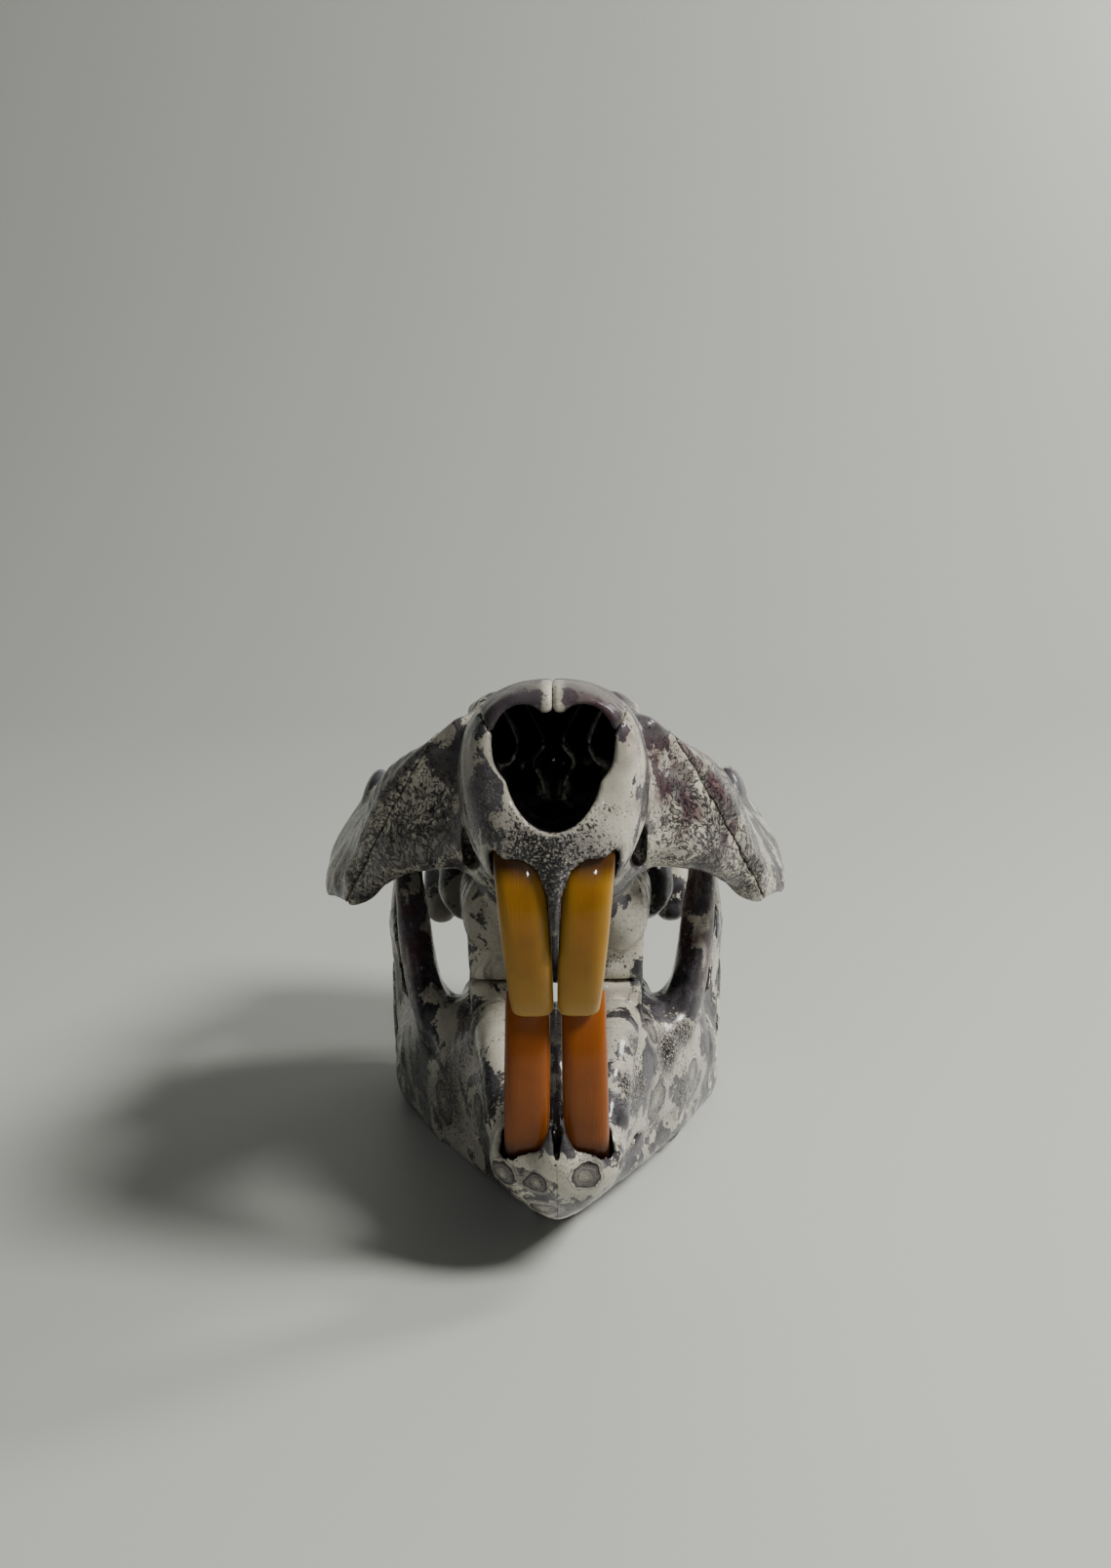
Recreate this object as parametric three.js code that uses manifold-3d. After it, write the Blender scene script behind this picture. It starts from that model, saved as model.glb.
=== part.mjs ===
// Beaver skull with its lower jaw, life size, resting on its chin and on the two angles of the jaw.
// Millimetres, +Z up, the nose towards -Y and the midline at x = 0. Left and right are the animal's own.
// Every bone is a smooth field of rounded masses and hollows, turned into a closed surface and parted
// by thin cuts.
import * as THREE from 'three';
import { mergeVertices } from 'three/addons/utils/BufferGeometryUtils.js';
import Module from 'manifold-3d';

const wasm = await Module();
wasm.setup();

// Driving dimensions. Lengths along y are counted from the chin's resting point.
const GAP = 0.3;
const CRANIUM_STEP = 1.25;
const DENTARY_STEP = 2.1;
const SHORTEST_EDGE = 0.06;
const SHARE_RANGE = [0.08, 0.92];
const LEAST_FACING = 0.35;
const FLOOR_SNAP = 0.03;
const FOOTPRINT_MIDDLE_Y = 36.2;

const NOSE_Y = -31.5;
const OCCIPUT_Y = 103.5;
const ARCH_HALF_BREADTH = 45.2;
const ROSTRUM_HALF_WIDTH = 16.5;
const BRAINCASE_HALF_WIDTH = 25.5;

const OCCLUSAL_Z = 41.9;
const OCCLUSAL_Y = 17;
const OCCLUSAL_FALL = 0.139;
const CHEEK_TOOTH_COUNT = 4;
const CHEEK_ROW = { firstY: 18.2, firstX: 12.2, outward: 0.07, gap: 0.5 };
const CHEEK_TOOTH = { length: 8.6, shrink: 0.5, halfWidth: 4.6, narrowing: 0.15, round: 1.2 };

const UPPER_INCISOR = {
  arcY: -5.8, arcZ: 66.7, arcRadius: 29, front: 2.8, back: 5.4, tip: -35.2, root: 27, bevel: 22,
  tipInner: 0.3, rootInner: 1.9, tipOuter: 7.45, rootOuter: 10.2,
};
const LOWER_INCISOR = {
  arcY: 8.6, arcZ: 37.0, arcRadius: 38, front: 2.6, back: 5.2, tip: 25.5, root: -33, bevel: 12,
  tipInner: 0.9, rootInner: 1.4, tipOuter: 8.5, rootOuter: 9.2,
};

const JAW_JOINT = { centre: [30.6, 73, 57.4], radii: [4.4, 6.4, 3.4], clearance: 0.7 };

const CRANIUM_TRIANGLES = 6000;
const DENTARY_TRIANGLES = 1600;

// Fields: each shape knows its box and how far a point is from its surface, below zero inside.

const FAR = 12;
const FIELD_MARGIN = 3;

function smoothMin(a, b, blend) {
  const near = Math.max(blend - Math.abs(a - b), 0) / blend;
  return Math.min(a, b) - near * near * blend / 4;
}

function ovalDistance(u, v, w, a, b, c) {
  const reach = Math.hypot(u / a, v / b, w / c);
  const slope = Math.hypot(u / (a * a), v / (b * b), w / (c * c));
  return slope > 1e-9 ? reach * (reach - 1) / slope : -Math.min(a, b, c);
}

// An ellipsoid, turned about x, y and z by degrees.
function blob(centre, radii, turn = [0, 0, 0]) {
  const angles = turn.map(THREE.MathUtils.degToRad);
  const back = new THREE.Quaternion().setFromEuler(new THREE.Euler(...angles)).invert();
  const middle = new THREE.Vector3(...centre);
  const local = new THREE.Vector3();
  const reach = Math.max(...radii);
  return {
    low: centre.map((c) => c - reach),
    high: centre.map((c) => c + reach),
    distance(x, y, z) {
      local.set(x, y, z).sub(middle).applyQuaternion(back);
      return ovalDistance(local.x, local.y, local.z, ...radii);
    },
  };
}

// A box with rounded edges, turned about x, y and z by degrees.
function block(centre, half, round, turn = [0, 0, 0]) {
  const angles = turn.map(THREE.MathUtils.degToRad);
  const back = new THREE.Quaternion().setFromEuler(new THREE.Euler(...angles)).invert();
  const middle = new THREE.Vector3(...centre);
  const local = new THREE.Vector3();
  const reach = Math.hypot(...half);
  return {
    low: centre.map((c) => c - reach),
    high: centre.map((c) => c + reach),
    distance(x, y, z) {
      local.set(x, y, z).sub(middle).applyQuaternion(back);
      const over = [local.x, local.y, local.z].map((v, i) => Math.abs(v) - half[i] + round);
      return Math.hypot(...over.map((v) => Math.max(v, 0))) + Math.min(Math.max(...over), 0) - round;
    },
  };
}

// An oval section swept along a smooth curve. A station is [x, y, z, half width, half thickness],
// and the width lies along the facing direction.
function limb(stations, facing, piecesPerSpan = 4) {
  const curve = new THREE.CatmullRomCurve3(stations.map(([x, y, z]) => new THREE.Vector3(x, y, z)));
  const spans = stations.length - 1;
  const count = spans * piecesPerSpan;
  const joints = [];
  for (let i = 0; i <= count; i++) {
    const at = i / piecesPerSpan;
    const k = Math.min(Math.floor(at), spans - 1);
    const mix = (column) => THREE.MathUtils.lerp(stations[k][column], stations[k + 1][column], at - k);
    joints.push({ point: curve.getPoint(i / count), wide: mix(3), thin: mix(4) });
  }
  const pieces = joints.slice(0, -1).map((from, i) => {
    const to = joints[i + 1];
    const along = to.point.clone().sub(from.point);
    const length = along.length();
    along.normalize();
    const across = new THREE.Vector3(...facing);
    across.addScaledVector(along, -along.dot(across)).normalize();
    return { from, to, along, length, across, through: along.clone().cross(across) };
  });
  const reach = Math.max(...stations.map((s) => Math.max(s[3], s[4])));
  const offset = new THREE.Vector3();
  return {
    low: [0, 1, 2].map((i) => Math.min(...joints.map((j) => j.point.getComponent(i))) - reach),
    high: [0, 1, 2].map((i) => Math.max(...joints.map((j) => j.point.getComponent(i))) + reach),
    distance(x, y, z) {
      let nearest = Infinity;
      for (const { from, to, along, length, across, through } of pieces) {
        offset.set(x, y, z).sub(from.point);
        const run = offset.dot(along);
        const share = THREE.MathUtils.clamp(run / length, 0, 1);
        const wide = from.wide + share * (to.wide - from.wide);
        const thin = from.thin + share * (to.thin - from.thin);
        const past = run - share * length;
        nearest = Math.min(nearest,
          ovalDistance(offset.dot(across), offset.dot(through), past, wide, thin, thin));
      }
      return nearest;
    },
  };
}

// A long box of bone along y. A station is [y, half width, bottom, top, squareness of the section].
function trunk(stations, endRound) {
  const low = stations[0][0];
  const high = stations.at(-1)[0];
  const widest = Math.max(...stations.map((s) => s[1]));
  const at = (y, column) => {
    const k = THREE.MathUtils.clamp(stations.findIndex((s) => s[0] > y), 1, stations.length - 1);
    const share = THREE.MathUtils.smoothstep(y, stations[k - 1][0], stations[k][0]);
    return THREE.MathUtils.lerp(stations[k - 1][column], stations[k][column], share);
  };
  return {
    low: [-widest, low, Math.min(...stations.map((s) => s[2]))],
    high: [widest, high, Math.max(...stations.map((s) => s[3]))],
    distance(x, y, z) {
      const inside = THREE.MathUtils.clamp(y, low, high - 1e-6);
      const [halfWidth, bottom, top, square] = [1, 2, 3, 4].map((column) => at(inside, column));
      const halfHeight = (top - bottom) / 2;
      const u = Math.abs(x) / halfWidth;
      const v = Math.abs(z - (top + bottom) / 2) / halfHeight;
      const section = ((u ** square + v ** square) ** (1 / square) - 1) * Math.min(halfWidth, halfHeight);
      return -smoothMin(-section, -Math.max(low - y, y - high), endRound);
    },
  };
}

// A flat cut through a point, within a box. The kept direction leads into the bone that stays.
function slope(point, kept, low, high) {
  const plane = new THREE.Plane().setFromNormalAndCoplanarPoint(
    new THREE.Vector3(...kept).normalize(), new THREE.Vector3(...point));
  const at = new THREE.Vector3();
  return { low, high, distance: (x, y, z) => plane.distanceToPoint(at.set(x, y, z)) };
}

// A grid of distances that bone is added to and carved from. With mirrored set, each shape counts on
// both sides.
class Field {
  constructor(low, high, step, mirrored) {
    this.low = low;
    this.step = step;
    this.mirrored = mirrored;
    this.size = low.map((v, i) => Math.ceil((high[i] - v) / step) + 1);
    this.values = new Float32Array(this.size[0] * this.size[1] * this.size[2]).fill(FAR);
  }

  index(i, j, k) {
    return (k * this.size[1] + j) * this.size[0] + i;
  }

  visit(shape, margin, change) {
    const { low, step, size } = this;
    const range = (axis, from, to) => [
      Math.max(0, Math.floor((from - margin - low[axis]) / step)),
      Math.min(size[axis] - 1, Math.ceil((to + margin - low[axis]) / step)),
    ];
    const [j0, j1] = range(1, shape.low[1], shape.high[1]);
    const [k0, k1] = range(2, shape.low[2], shape.high[2]);
    for (let i = 0; i < size[0]; i++) {
      const x = this.mirrored ? Math.abs(low[0] + i * step) : low[0] + i * step;
      if (x < shape.low[0] - margin || x > shape.high[0] + margin) continue;
      for (let k = k0; k <= k1; k++) {
        for (let j = j0; j <= j1; j++) {
          const at = this.index(i, j, k);
          this.values[at] = change(this.values[at], shape.distance(x, low[1] + j * step, low[2] + k * step));
        }
      }
    }
  }

  add(shape, blend) {
    this.visit(shape, blend + FIELD_MARGIN, (old, d) => smoothMin(old, d, blend));
  }

  carve(shape, blend) {
    this.visit(shape, blend + FIELD_MARGIN, (old, d) => -smoothMin(-old, d, blend));
  }
}

// Surface of a field: every grid cell is split into six tetrahedra around its long diagonal,
// and each tetrahedron that the surface crosses gives one or two triangles.
function surfaceOf(field) {
  const { size, low, step, values } = field;
  const points = [];
  const faces = [];
  const pointOnEdge = new Map();
  const corner = (c) => (c & 1) + ((c >> 1) & 1) * size[0] + (c >> 2) * size[0] * size[1];
  const rims = [[1, 3], [3, 2], [2, 6], [6, 4], [4, 5], [5, 1]];
  const tetrahedra = rims.map(([a, b]) => [0, a, b, 7].map(corner));
  const position = (n) => new THREE.Vector3(
    low[0] + (n % size[0]) * step,
    low[1] + (Math.floor(n / size[0]) % size[1]) * step,
    low[2] + Math.floor(n / (size[0] * size[1])) * step,
  );
  const crossing = (inside, outside) => {
    const key = Math.min(inside, outside) * values.length + Math.max(inside, outside);
    if (!pointOnEdge.has(key)) {
      const share = values[inside] / (values[inside] - values[outside]);
      const kept = THREE.MathUtils.clamp(share, ...SHARE_RANGE);
      pointOnEdge.set(key, points.length);
      points.push(position(inside).lerp(position(outside), kept));
    }
    return pointOnEdge.get(key);
  };
  const triangle = new THREE.Triangle();
  const addFace = (face, inside, outside) => {
    triangle.set(...face.map((v) => points[v]));
    const outward = position(outside).sub(position(inside));
    faces.push(triangle.getNormal(new THREE.Vector3()).dot(outward) > 0 ? face : face.reverse());
  };
  for (let k = 0; k < size[2] - 1; k++) {
    for (let j = 0; j < size[1] - 1; j++) {
      for (let i = 0; i < size[0] - 1; i++) {
        const cell = field.index(i, j, k);
        for (const tetrahedron of tetrahedra) {
          const at = tetrahedron.map((offset) => cell + offset);
          const inner = at.filter((n) => values[n] < 0);
          const outer = at.filter((n) => values[n] >= 0);
          if (inner.length === 0 || outer.length === 0) continue;
          const ring = inner.length === 2
            ? [[0, 0], [0, 1], [1, 1], [1, 0]].map(([a, b]) => crossing(inner[a], outer[b]))
            : inner.flatMap((a) => outer.map((b) => crossing(a, b)));
          addFace([ring[0], ring[1], ring[2]], inner[0], outer[0]);
          if (ring.length === 4) addFace([ring[0], ring[2], ring[3]], inner[1], outer[0]);
        }
      }
    }
  }
  return { points, faces };
}

// Collapses the edges that change the surface least, until the wanted number of triangles is left
// and no edge is shorter than the shortest one allowed.
function simplify({ points, faces }, wanted) {
  const facesAt = points.map(() => new Set());
  faces.forEach((face, f) => face.forEach((v) => facesAt[v].add(f)));
  const planes = points.map(() => new Float64Array(10));
  const normal = new THREE.Vector3();
  const triangle = new THREE.Triangle();
  for (const face of faces) {
    triangle.set(...face.map((v) => points[v]));
    triangle.getNormal(normal);
    const plane = [normal.x, normal.y, normal.z, -normal.dot(triangle.a)];
    const weight = triangle.getArea();
    let slot = 0;
    for (let r = 0; r < 4; r++) {
      for (let c = r; c < 4; c++, slot++) {
        for (const v of face) planes[v][slot] += weight * plane[r] * plane[c];
      }
    }
  }
  const costAt = (q, p) => p.x * (q[0] * p.x + 2 * (q[1] * p.y + q[2] * p.z + q[3]))
    + p.y * (q[4] * p.y + 2 * (q[5] * p.z + q[6])) + p.z * (q[7] * p.z + 2 * q[8]) + q[9];
  const bestPlace = (a, b) => {
    const q = planes[a].map((v, i) => v + planes[b][i]);
    const middle = points[a].clone().lerp(points[b], 0.5);
    const solve = new THREE.Matrix3().set(q[0], q[1], q[2], q[1], q[4], q[5], q[2], q[5], q[7]);
    const places = [middle, points[a], points[b]];
    if (Math.abs(solve.determinant()) > 1e-6) {
      const ideal = new THREE.Vector3(-q[3], -q[6], -q[8]).applyMatrix3(solve.invert());
      if (ideal.distanceTo(middle) < points[a].distanceTo(points[b])) places.push(ideal);
    }
    const costs = places.map((p) => costAt(q, p));
    const pick = costs.indexOf(Math.min(...costs));
    return { place: places[pick].clone(), cost: costs[pick] };
  };
  const isShort = (a, b) => points[a].distanceTo(points[b]) < SHORTEST_EDGE;
  const ringOf = (v) => new Set([...facesAt[v]].flatMap((f) => faces[f]).filter((other) => other !== v));
  const wouldFlip = (v, gone, place) => [...facesAt[v]].some((f) => {
    if (faces[f].includes(gone)) return false;
    triangle.set(...faces[f].map((n) => points[n]));
    if (triangle.getArea() < SHORTEST_EDGE * SHORTEST_EDGE) return false;
    const before = triangle.getNormal(new THREE.Vector3());
    triangle.set(...faces[f].map((n) => (n === v ? place : points[n])));
    return before.dot(triangle.getNormal(normal)) < LEAST_FACING;
  });
  let left = faces.length;
  const MOST_PASSES = 60;
  for (let pass = 0; pass < MOST_PASSES; pass++) {
    const edges = [];
    faces.forEach((face) => face && face.forEach((a, i) => {
      const b = face[(i + 1) % 3];
      const short = isShort(a, b);
      if (a < b && (left > wanted || short)) edges.push({ a, b, short, ...bestPlace(a, b) });
    }));
    if (edges.length === 0) break;
    edges.sort((p, q) => q.short - p.short || p.cost - q.cost);
    const moved = new Set();
    for (const { a, b, place, short } of edges.slice(0, Math.ceil(edges.length / 4))) {
      if (left <= wanted && !short) break;
      if (moved.has(a) || moved.has(b)) continue;
      const around = ringOf(a);
      const shared = [...ringOf(b)].filter((v) => around.has(v));
      if (shared.length !== 2 || wouldFlip(a, b, place) || wouldFlip(b, a, place)) continue;
      ringOf(b).forEach((v) => moved.add(v));
      around.forEach((v) => moved.add(v));
      for (const f of [...facesAt[b]]) {
        if (faces[f].includes(a)) {
          faces[f].forEach((v) => facesAt[v].delete(f));
          faces[f] = null;
          left--;
        } else {
          faces[f] = faces[f].map((v) => (v === b ? a : v));
          facesAt[a].add(f);
        }
      }
      facesAt[b].clear();
      points[a].copy(place);
      planes[b].forEach((v, i) => { planes[a][i] += v; });
    }
  }
  return { points, faces: faces.filter(Boolean) };
}

// Solids, cuts and meshes.

function solidOf(geometry) {
  const bare = new THREE.BufferGeometry().setAttribute('position', geometry.getAttribute('position'));
  if (geometry.index) bare.setIndex(geometry.index);
  const merged = mergeVertices(bare, 1e-4);
  const { position } = merged.attributes;
  return new wasm.Manifold(new wasm.Mesh({
    numProp: 3,
    vertProperties: new Float32Array(position.array),
    triVerts: new Uint32Array(merged.index.array),
  }));
}

function geometryFrom({ points, faces }) {
  return new THREE.BufferGeometry().setFromPoints(points).setIndex(faces.flat());
}

// The finished surface of a solid, without the slivers that cuts leave and with its floor flats at zero.
function geometryOf(solid) {
  const mesh = solid.getMesh();
  const points = [];
  const faces = [];
  for (let i = 0; i < mesh.vertProperties.length; i += 3) {
    points.push(new THREE.Vector3().fromArray(mesh.vertProperties, i));
  }
  for (let i = 0; i < mesh.triVerts.length; i += 3) faces.push([...mesh.triVerts.slice(i, i + 3)]);
  const clean = simplify({ points, faces }, faces.length);
  for (const point of points) if (Math.abs(point.z) < FLOOR_SNAP) point.z = 0;
  return mergeVertices(geometryFrom(clean), 1e-5);
}

function solidFromField(field, triangles) {
  return largest(solidOf(geometryFrom(simplify(surfaceOf(field), triangles))));
}

function largest(solid) {
  return solid.decompose().sort((a, b) => b.volume() - a.volume())[0];
}

function box(low, high) {
  const size = high.map((v, i) => v - low[i]);
  const middle = high.map((v, i) => (v + low[i]) / 2);
  return solidOf(new THREE.BoxGeometry(...size).translate(...middle));
}

// A closed skin over rings of points, each ring with the same number of points.
function loft(rings) {
  const around = rings[0].length;
  const points = rings.flat();
  const index = [];
  const ringStart = (r) => r * around;
  for (let r = 0; r < rings.length - 1; r++) {
    for (let i = 0; i < around; i++) {
      const [a, b] = [ringStart(r) + i, ringStart(r) + (i + 1) % around];
      index.push(a, b, b + around, a, b + around, a + around);
    }
  }
  for (const [r, order] of [[0, [0, 2, 1]], [rings.length - 1, [0, 1, 2]]]) {
    const hub = points.length;
    points.push(rings[r].reduce((sum, p) => sum.add(p), new THREE.Vector3()).divideScalar(around));
    for (let i = 0; i < around; i++) {
      const fan = [hub, ringStart(r) + i, ringStart(r) + (i + 1) % around];
      index.push(...order.map((n) => fan[n]));
    }
  }
  return solidOf(new THREE.BufferGeometry().setFromPoints(points).setIndex(index));
}

// Incisors: a section with a broad, flat front swept along an arc, ground to a chisel behind the tip.
function incisor(size, grow = 0) {
  const SECTION_POINTS = 14;
  const STEPS = 12;
  const FRONT_SQUARENESS = 0.62;
  const BACK_SQUARENESS = 0.9;
  const THINNEST_WEAR = 0.12;
  const { degToRad, radToDeg, lerp, clamp } = THREE.MathUtils;
  const way = Math.sign(size.root - size.tip);
  const growth = way * radToDeg(grow / size.arcRadius);
  const from = size.tip - growth;
  const to = size.root + growth;
  const rings = [];
  for (let s = 0; s <= STEPS; s++) {
    const angle = lerp(from, to, s / STEPS);
    const wear = clamp(Math.abs(angle - size.tip) / size.bevel, THINNEST_WEAR, 1);
    const inner = lerp(size.tipInner, size.rootInner, (s / STEPS) ** 2);
    const outer = lerp(size.tipOuter, size.rootOuter, s / STEPS);
    const middleX = (inner + outer) / 2;
    const halfWidth = (outer - inner) / 2 + grow;
    const ring = [];
    for (let i = 0; i < SECTION_POINTS; i++) {
      const turn = -(i / SECTION_POINTS) * 2 * Math.PI * way;
      const front = Math.sin(turn) > 0;
      const power = front ? FRONT_SQUARENESS : BACK_SQUARENESS;
      const across = Math.sign(Math.cos(turn)) * Math.abs(Math.cos(turn)) ** power * halfWidth;
      const depth = front ? size.front + grow : size.back * wear + grow;
      const out = Math.sign(Math.sin(turn)) * Math.abs(Math.sin(turn)) ** power * depth;
      const radius = size.arcRadius - size.front + out;
      ring.push(new THREE.Vector3(middleX + across,
        size.arcY - radius * Math.cos(degToRad(angle)), size.arcZ + radius * Math.sin(degToRad(angle))));
    }
    rings.push(ring);
  }
  return loft(rings);
}

// Cheek teeth: a row of worn columns. The upper row reaches down to the bite plane, the lower row up to it.
function biteHeight(y) {
  return OCCLUSAL_Z - (y - OCCLUSAL_Y) * OCCLUSAL_FALL;
}

function cheekTeeth(side, rootZ) {
  const teeth = [];
  let y = CHEEK_ROW.firstY;
  for (let i = 0; i < CHEEK_TOOTH_COUNT; i++) {
    const length = CHEEK_TOOTH.length - i * CHEEK_TOOTH.shrink;
    const bite = biteHeight(y) + side * GAP / 2;
    const x = CHEEK_ROW.firstX + (y - CHEEK_ROW.firstY) * CHEEK_ROW.outward;
    const half = [CHEEK_TOOTH.halfWidth - i * CHEEK_TOOTH.narrowing, length / 2, Math.abs(bite - rootZ) / 2];
    teeth.push(block([x, y, (bite + rootZ) / 2], half, CHEEK_TOOTH.round));
    y += length + CHEEK_ROW.gap - CHEEK_TOOTH.shrink / 2;
  }
  return teeth;
}

function craniumField() {
  const field = new Field([-54, -40, 22], [54, 112, 110], CRANIUM_STEP, true);
  const R = ROSTRUM_HALF_WIDTH;
  const B = BRAINCASE_HALF_WIDTH;
  const A = ARCH_HALF_BREADTH;
  // Snout, brow and brain box in one run.
  field.add(trunk([
    [NOSE_Y, R - 3.2, 78, 104.8, 2.5],
    [-24, R - 1.4, 72, 105.3, 2.5],
    [-10, R, 66, 103.6, 2.6],
    [5, R + 0.5, 57, 101, 2.6],
    [18, R - 0.5, 52, 98.6, 2.5],
    [32, R - 3, 52, 96, 2.4],
    [46, R - 4, 50, 93.4, 2.3],
    [60, R + 0.5, 50, 90.4, 2.2],
    [76, B - 3, 49, 86.5, 2.2],
    [92, B, 47, 81.5, 2.4],
    [OCCIPUT_Y, B - 2, 48, 77, 2.4],
  ], 3), 1);
  field.add(blob([0, 76, 66.5], [B, 27, 20.5], [8, 0, 0]), 5);
  // Socket of the incisor and the wedge of bone between the two incisors.
  field.add(blob([5.9, -24.6, 79.5], [6.7, 9.2, 8.8]), 3);
  field.add(limb([
    [0, -27, 83, 8.4, 7], [0, -28, 76, 5.4, 7.4], [0, -28.4, 70.6, 2.2, 7.4], [0, -28.8, 65.4, 0.9, 6.6],
  ], [1, 0, 0]), 2);
  // Front root of the cheek arch: a broad plate that leans back and out.
  field.add(limb([
    [11, 8, 81, 15.5, 8], [20, 11, 78, 12.5, 6.8], [28, 16, 74.4, 11.2, 5.6], [33.4, 22, 68.8, 10.2, 4.4],
    [36.8, 29, 64.8, 10.2, 3.2],
  ], [-0.25, 0.2, 0.95]), 4);
  field.add(limb([[17, 7, 92.6, 1.6, 1.6], [25.4, 11, 84.6, 1.7, 1.7], [32.4, 15.4, 74, 1.8, 1.8],
    [38.6, 20.6, 61.5, 2, 2]], [0, 1, 0]), 3);
  // Cheek bone: a tall plate whose lower edge flares out, thinning to the bar behind.
  field.add(limb([
    [36.2, 21.5, 61.6, 7.5, 3], [39.2, 33, 64, 11.4, 2.8], [A - 3.6, 47, 63, 10.4, 2.7],
    [A - 2.9, 59, 63.2, 8.6, 2.7], [A - 5.6, 71, 64.6, 5.6, 3], [33, 79, 66, 5, 4.2], [24, 81, 66.5, 6, 6],
  ], [-0.58, 0, 0.81]), 2.5);
  field.add(blob([A - 7.4, 57, 71.5], [2.6, 5, 4.6], [0, -28, 0]), 3);
  // Tooth-bearing part of the upper jaw, and the sill across the front of the palate.
  field.add(limb([[12, 13, 55.6, 7.2, 5.6], [13, 30, 53.4, 6.6, 6], [14.6, 47, 52, 6, 5.4]], [0, 0, 1]), 4);
  field.add(limb([[0, 16.5, 45.4, 4.6, 4], [9, 16.5, 46, 4, 4]], [0, 0, 1]), 1);
  for (const tooth of cheekTeeth(1, 54)) field.add(tooth, 0.6);
  // Brow ridge, ridge along the brain box and the crest across the back of the skull.
  field.add(limb([
    [11, 14, 95, 3, 2.6], [13.4, 27, 92.4, 3.2, 2.4], [11.4, 42, 90.4, 2.8, 2.2], [6, 56, 89, 1.6, 1.4],
  ], [1, 0, 0]), 3);
  field.add(limb([[0, 56, 90.6, 2.4, 2], [0, 80, 86, 2, 1.6], [0, 101, 79, 3, 2]], [1, 0, 0]), 3);
  field.add(limb([[0, 101.5, 78.5, 3, 3], [17, 99, 76, 3, 3], [28, 95, 63, 3.4, 3], [28.5, 93, 50, 3.6, 3.6]],
    [0, 1, 0]), 3);
  // Under the brain box: base, ear capsule, ear tube, the hook beside it, and the joint for the jaw.
  field.add(limb([[0, 46, 49.5, 8, 4], [0, 72, 49, 8, 5], [0, 99, 48.5, 8.5, 5]], [1, 0, 0]), 3);
  field.add(blob([18.2, 81, 43.6], [8.8, 10.2, 8.6], [0, 0, 20]), 2.5);
  field.add(limb([[21, 83, 47, 4.6, 4.6], [28, 85.5, 55, 4.4, 4.4], [33, 87, 61, 4.2, 4.2]], [0, 1, 0]), 2);
  field.add(blob([29, 75, 65], [7, 8.5, 5]), 3);
  field.add(limb([[24.6, 92, 52, 5.4, 5], [26.6, 91, 43, 4.8, 4.6], [27.2, 89, 36, 3.8, 4]], [0, 1, 0]), 2.5);
  field.add(limb([[6.4, 47, 46, 5, 1.8], [7.8, 58, 43.6, 5.4, 1.7], [9.6, 67, 44, 4.4, 1.8]], [0, 0, 1]), 2);
  field.add(blob([8.4, 102.6, 50.5], [4.6, 5.4, 6.4], [0, 0, -20]), 2);
  // Openings: nasal cavity, slit ahead of the cheek arch, eye socket, palate and spinal hole.
  field.carve(blob([4.9, -20, 95], [5.4, 34, 6.8], [-6, 0, 0]), 0.8);
  field.carve(blob([0, -22, 90], [7.6, 30, 9.6], [-6, 0, 0]), 0.8);
  field.carve(limb([[0, -36, 94.2, 3.4, 7.6], [0, -22, 93.6, 3.4, 7.6]], [1, 0, 0]), 0.8);
  field.carve(limb([[14.8, -14, 73.6, 6.2, 1.7], [15, -6, 72.8, 5.6, 1.8], [15.4, 4, 71, 3.4, 1.5]],
    [0, 0, 1]), 0.6);
  field.carve(blob([21.5, 41, 79], [8.4, 15, 14], [0, 12, 0]), 3);
  field.carve(blob([27, 61, 74], [8, 16, 15]), 4);
  field.carve(limb([[0, 27, 44, 5.4, 4.6], [0, 36, 43.6, 5.6, 4.6], [0, 52, 42, 5, 5]], [1, 0, 0]), 2);
  field.carve(blob([0, 107, 59.5], [8.2, 12, 7.4], [12, 0, 0]), 1.2);
  field.carve(blob([34.2, 87.6, 62.6], [3, 3, 3]), 0.8);
  field.carve(blob(JAW_JOINT.centre, JAW_JOINT.radii.map((r) => r + JAW_JOINT.clearance), [-6, 0, 0]), 0.6);
  return field;
}

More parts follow.
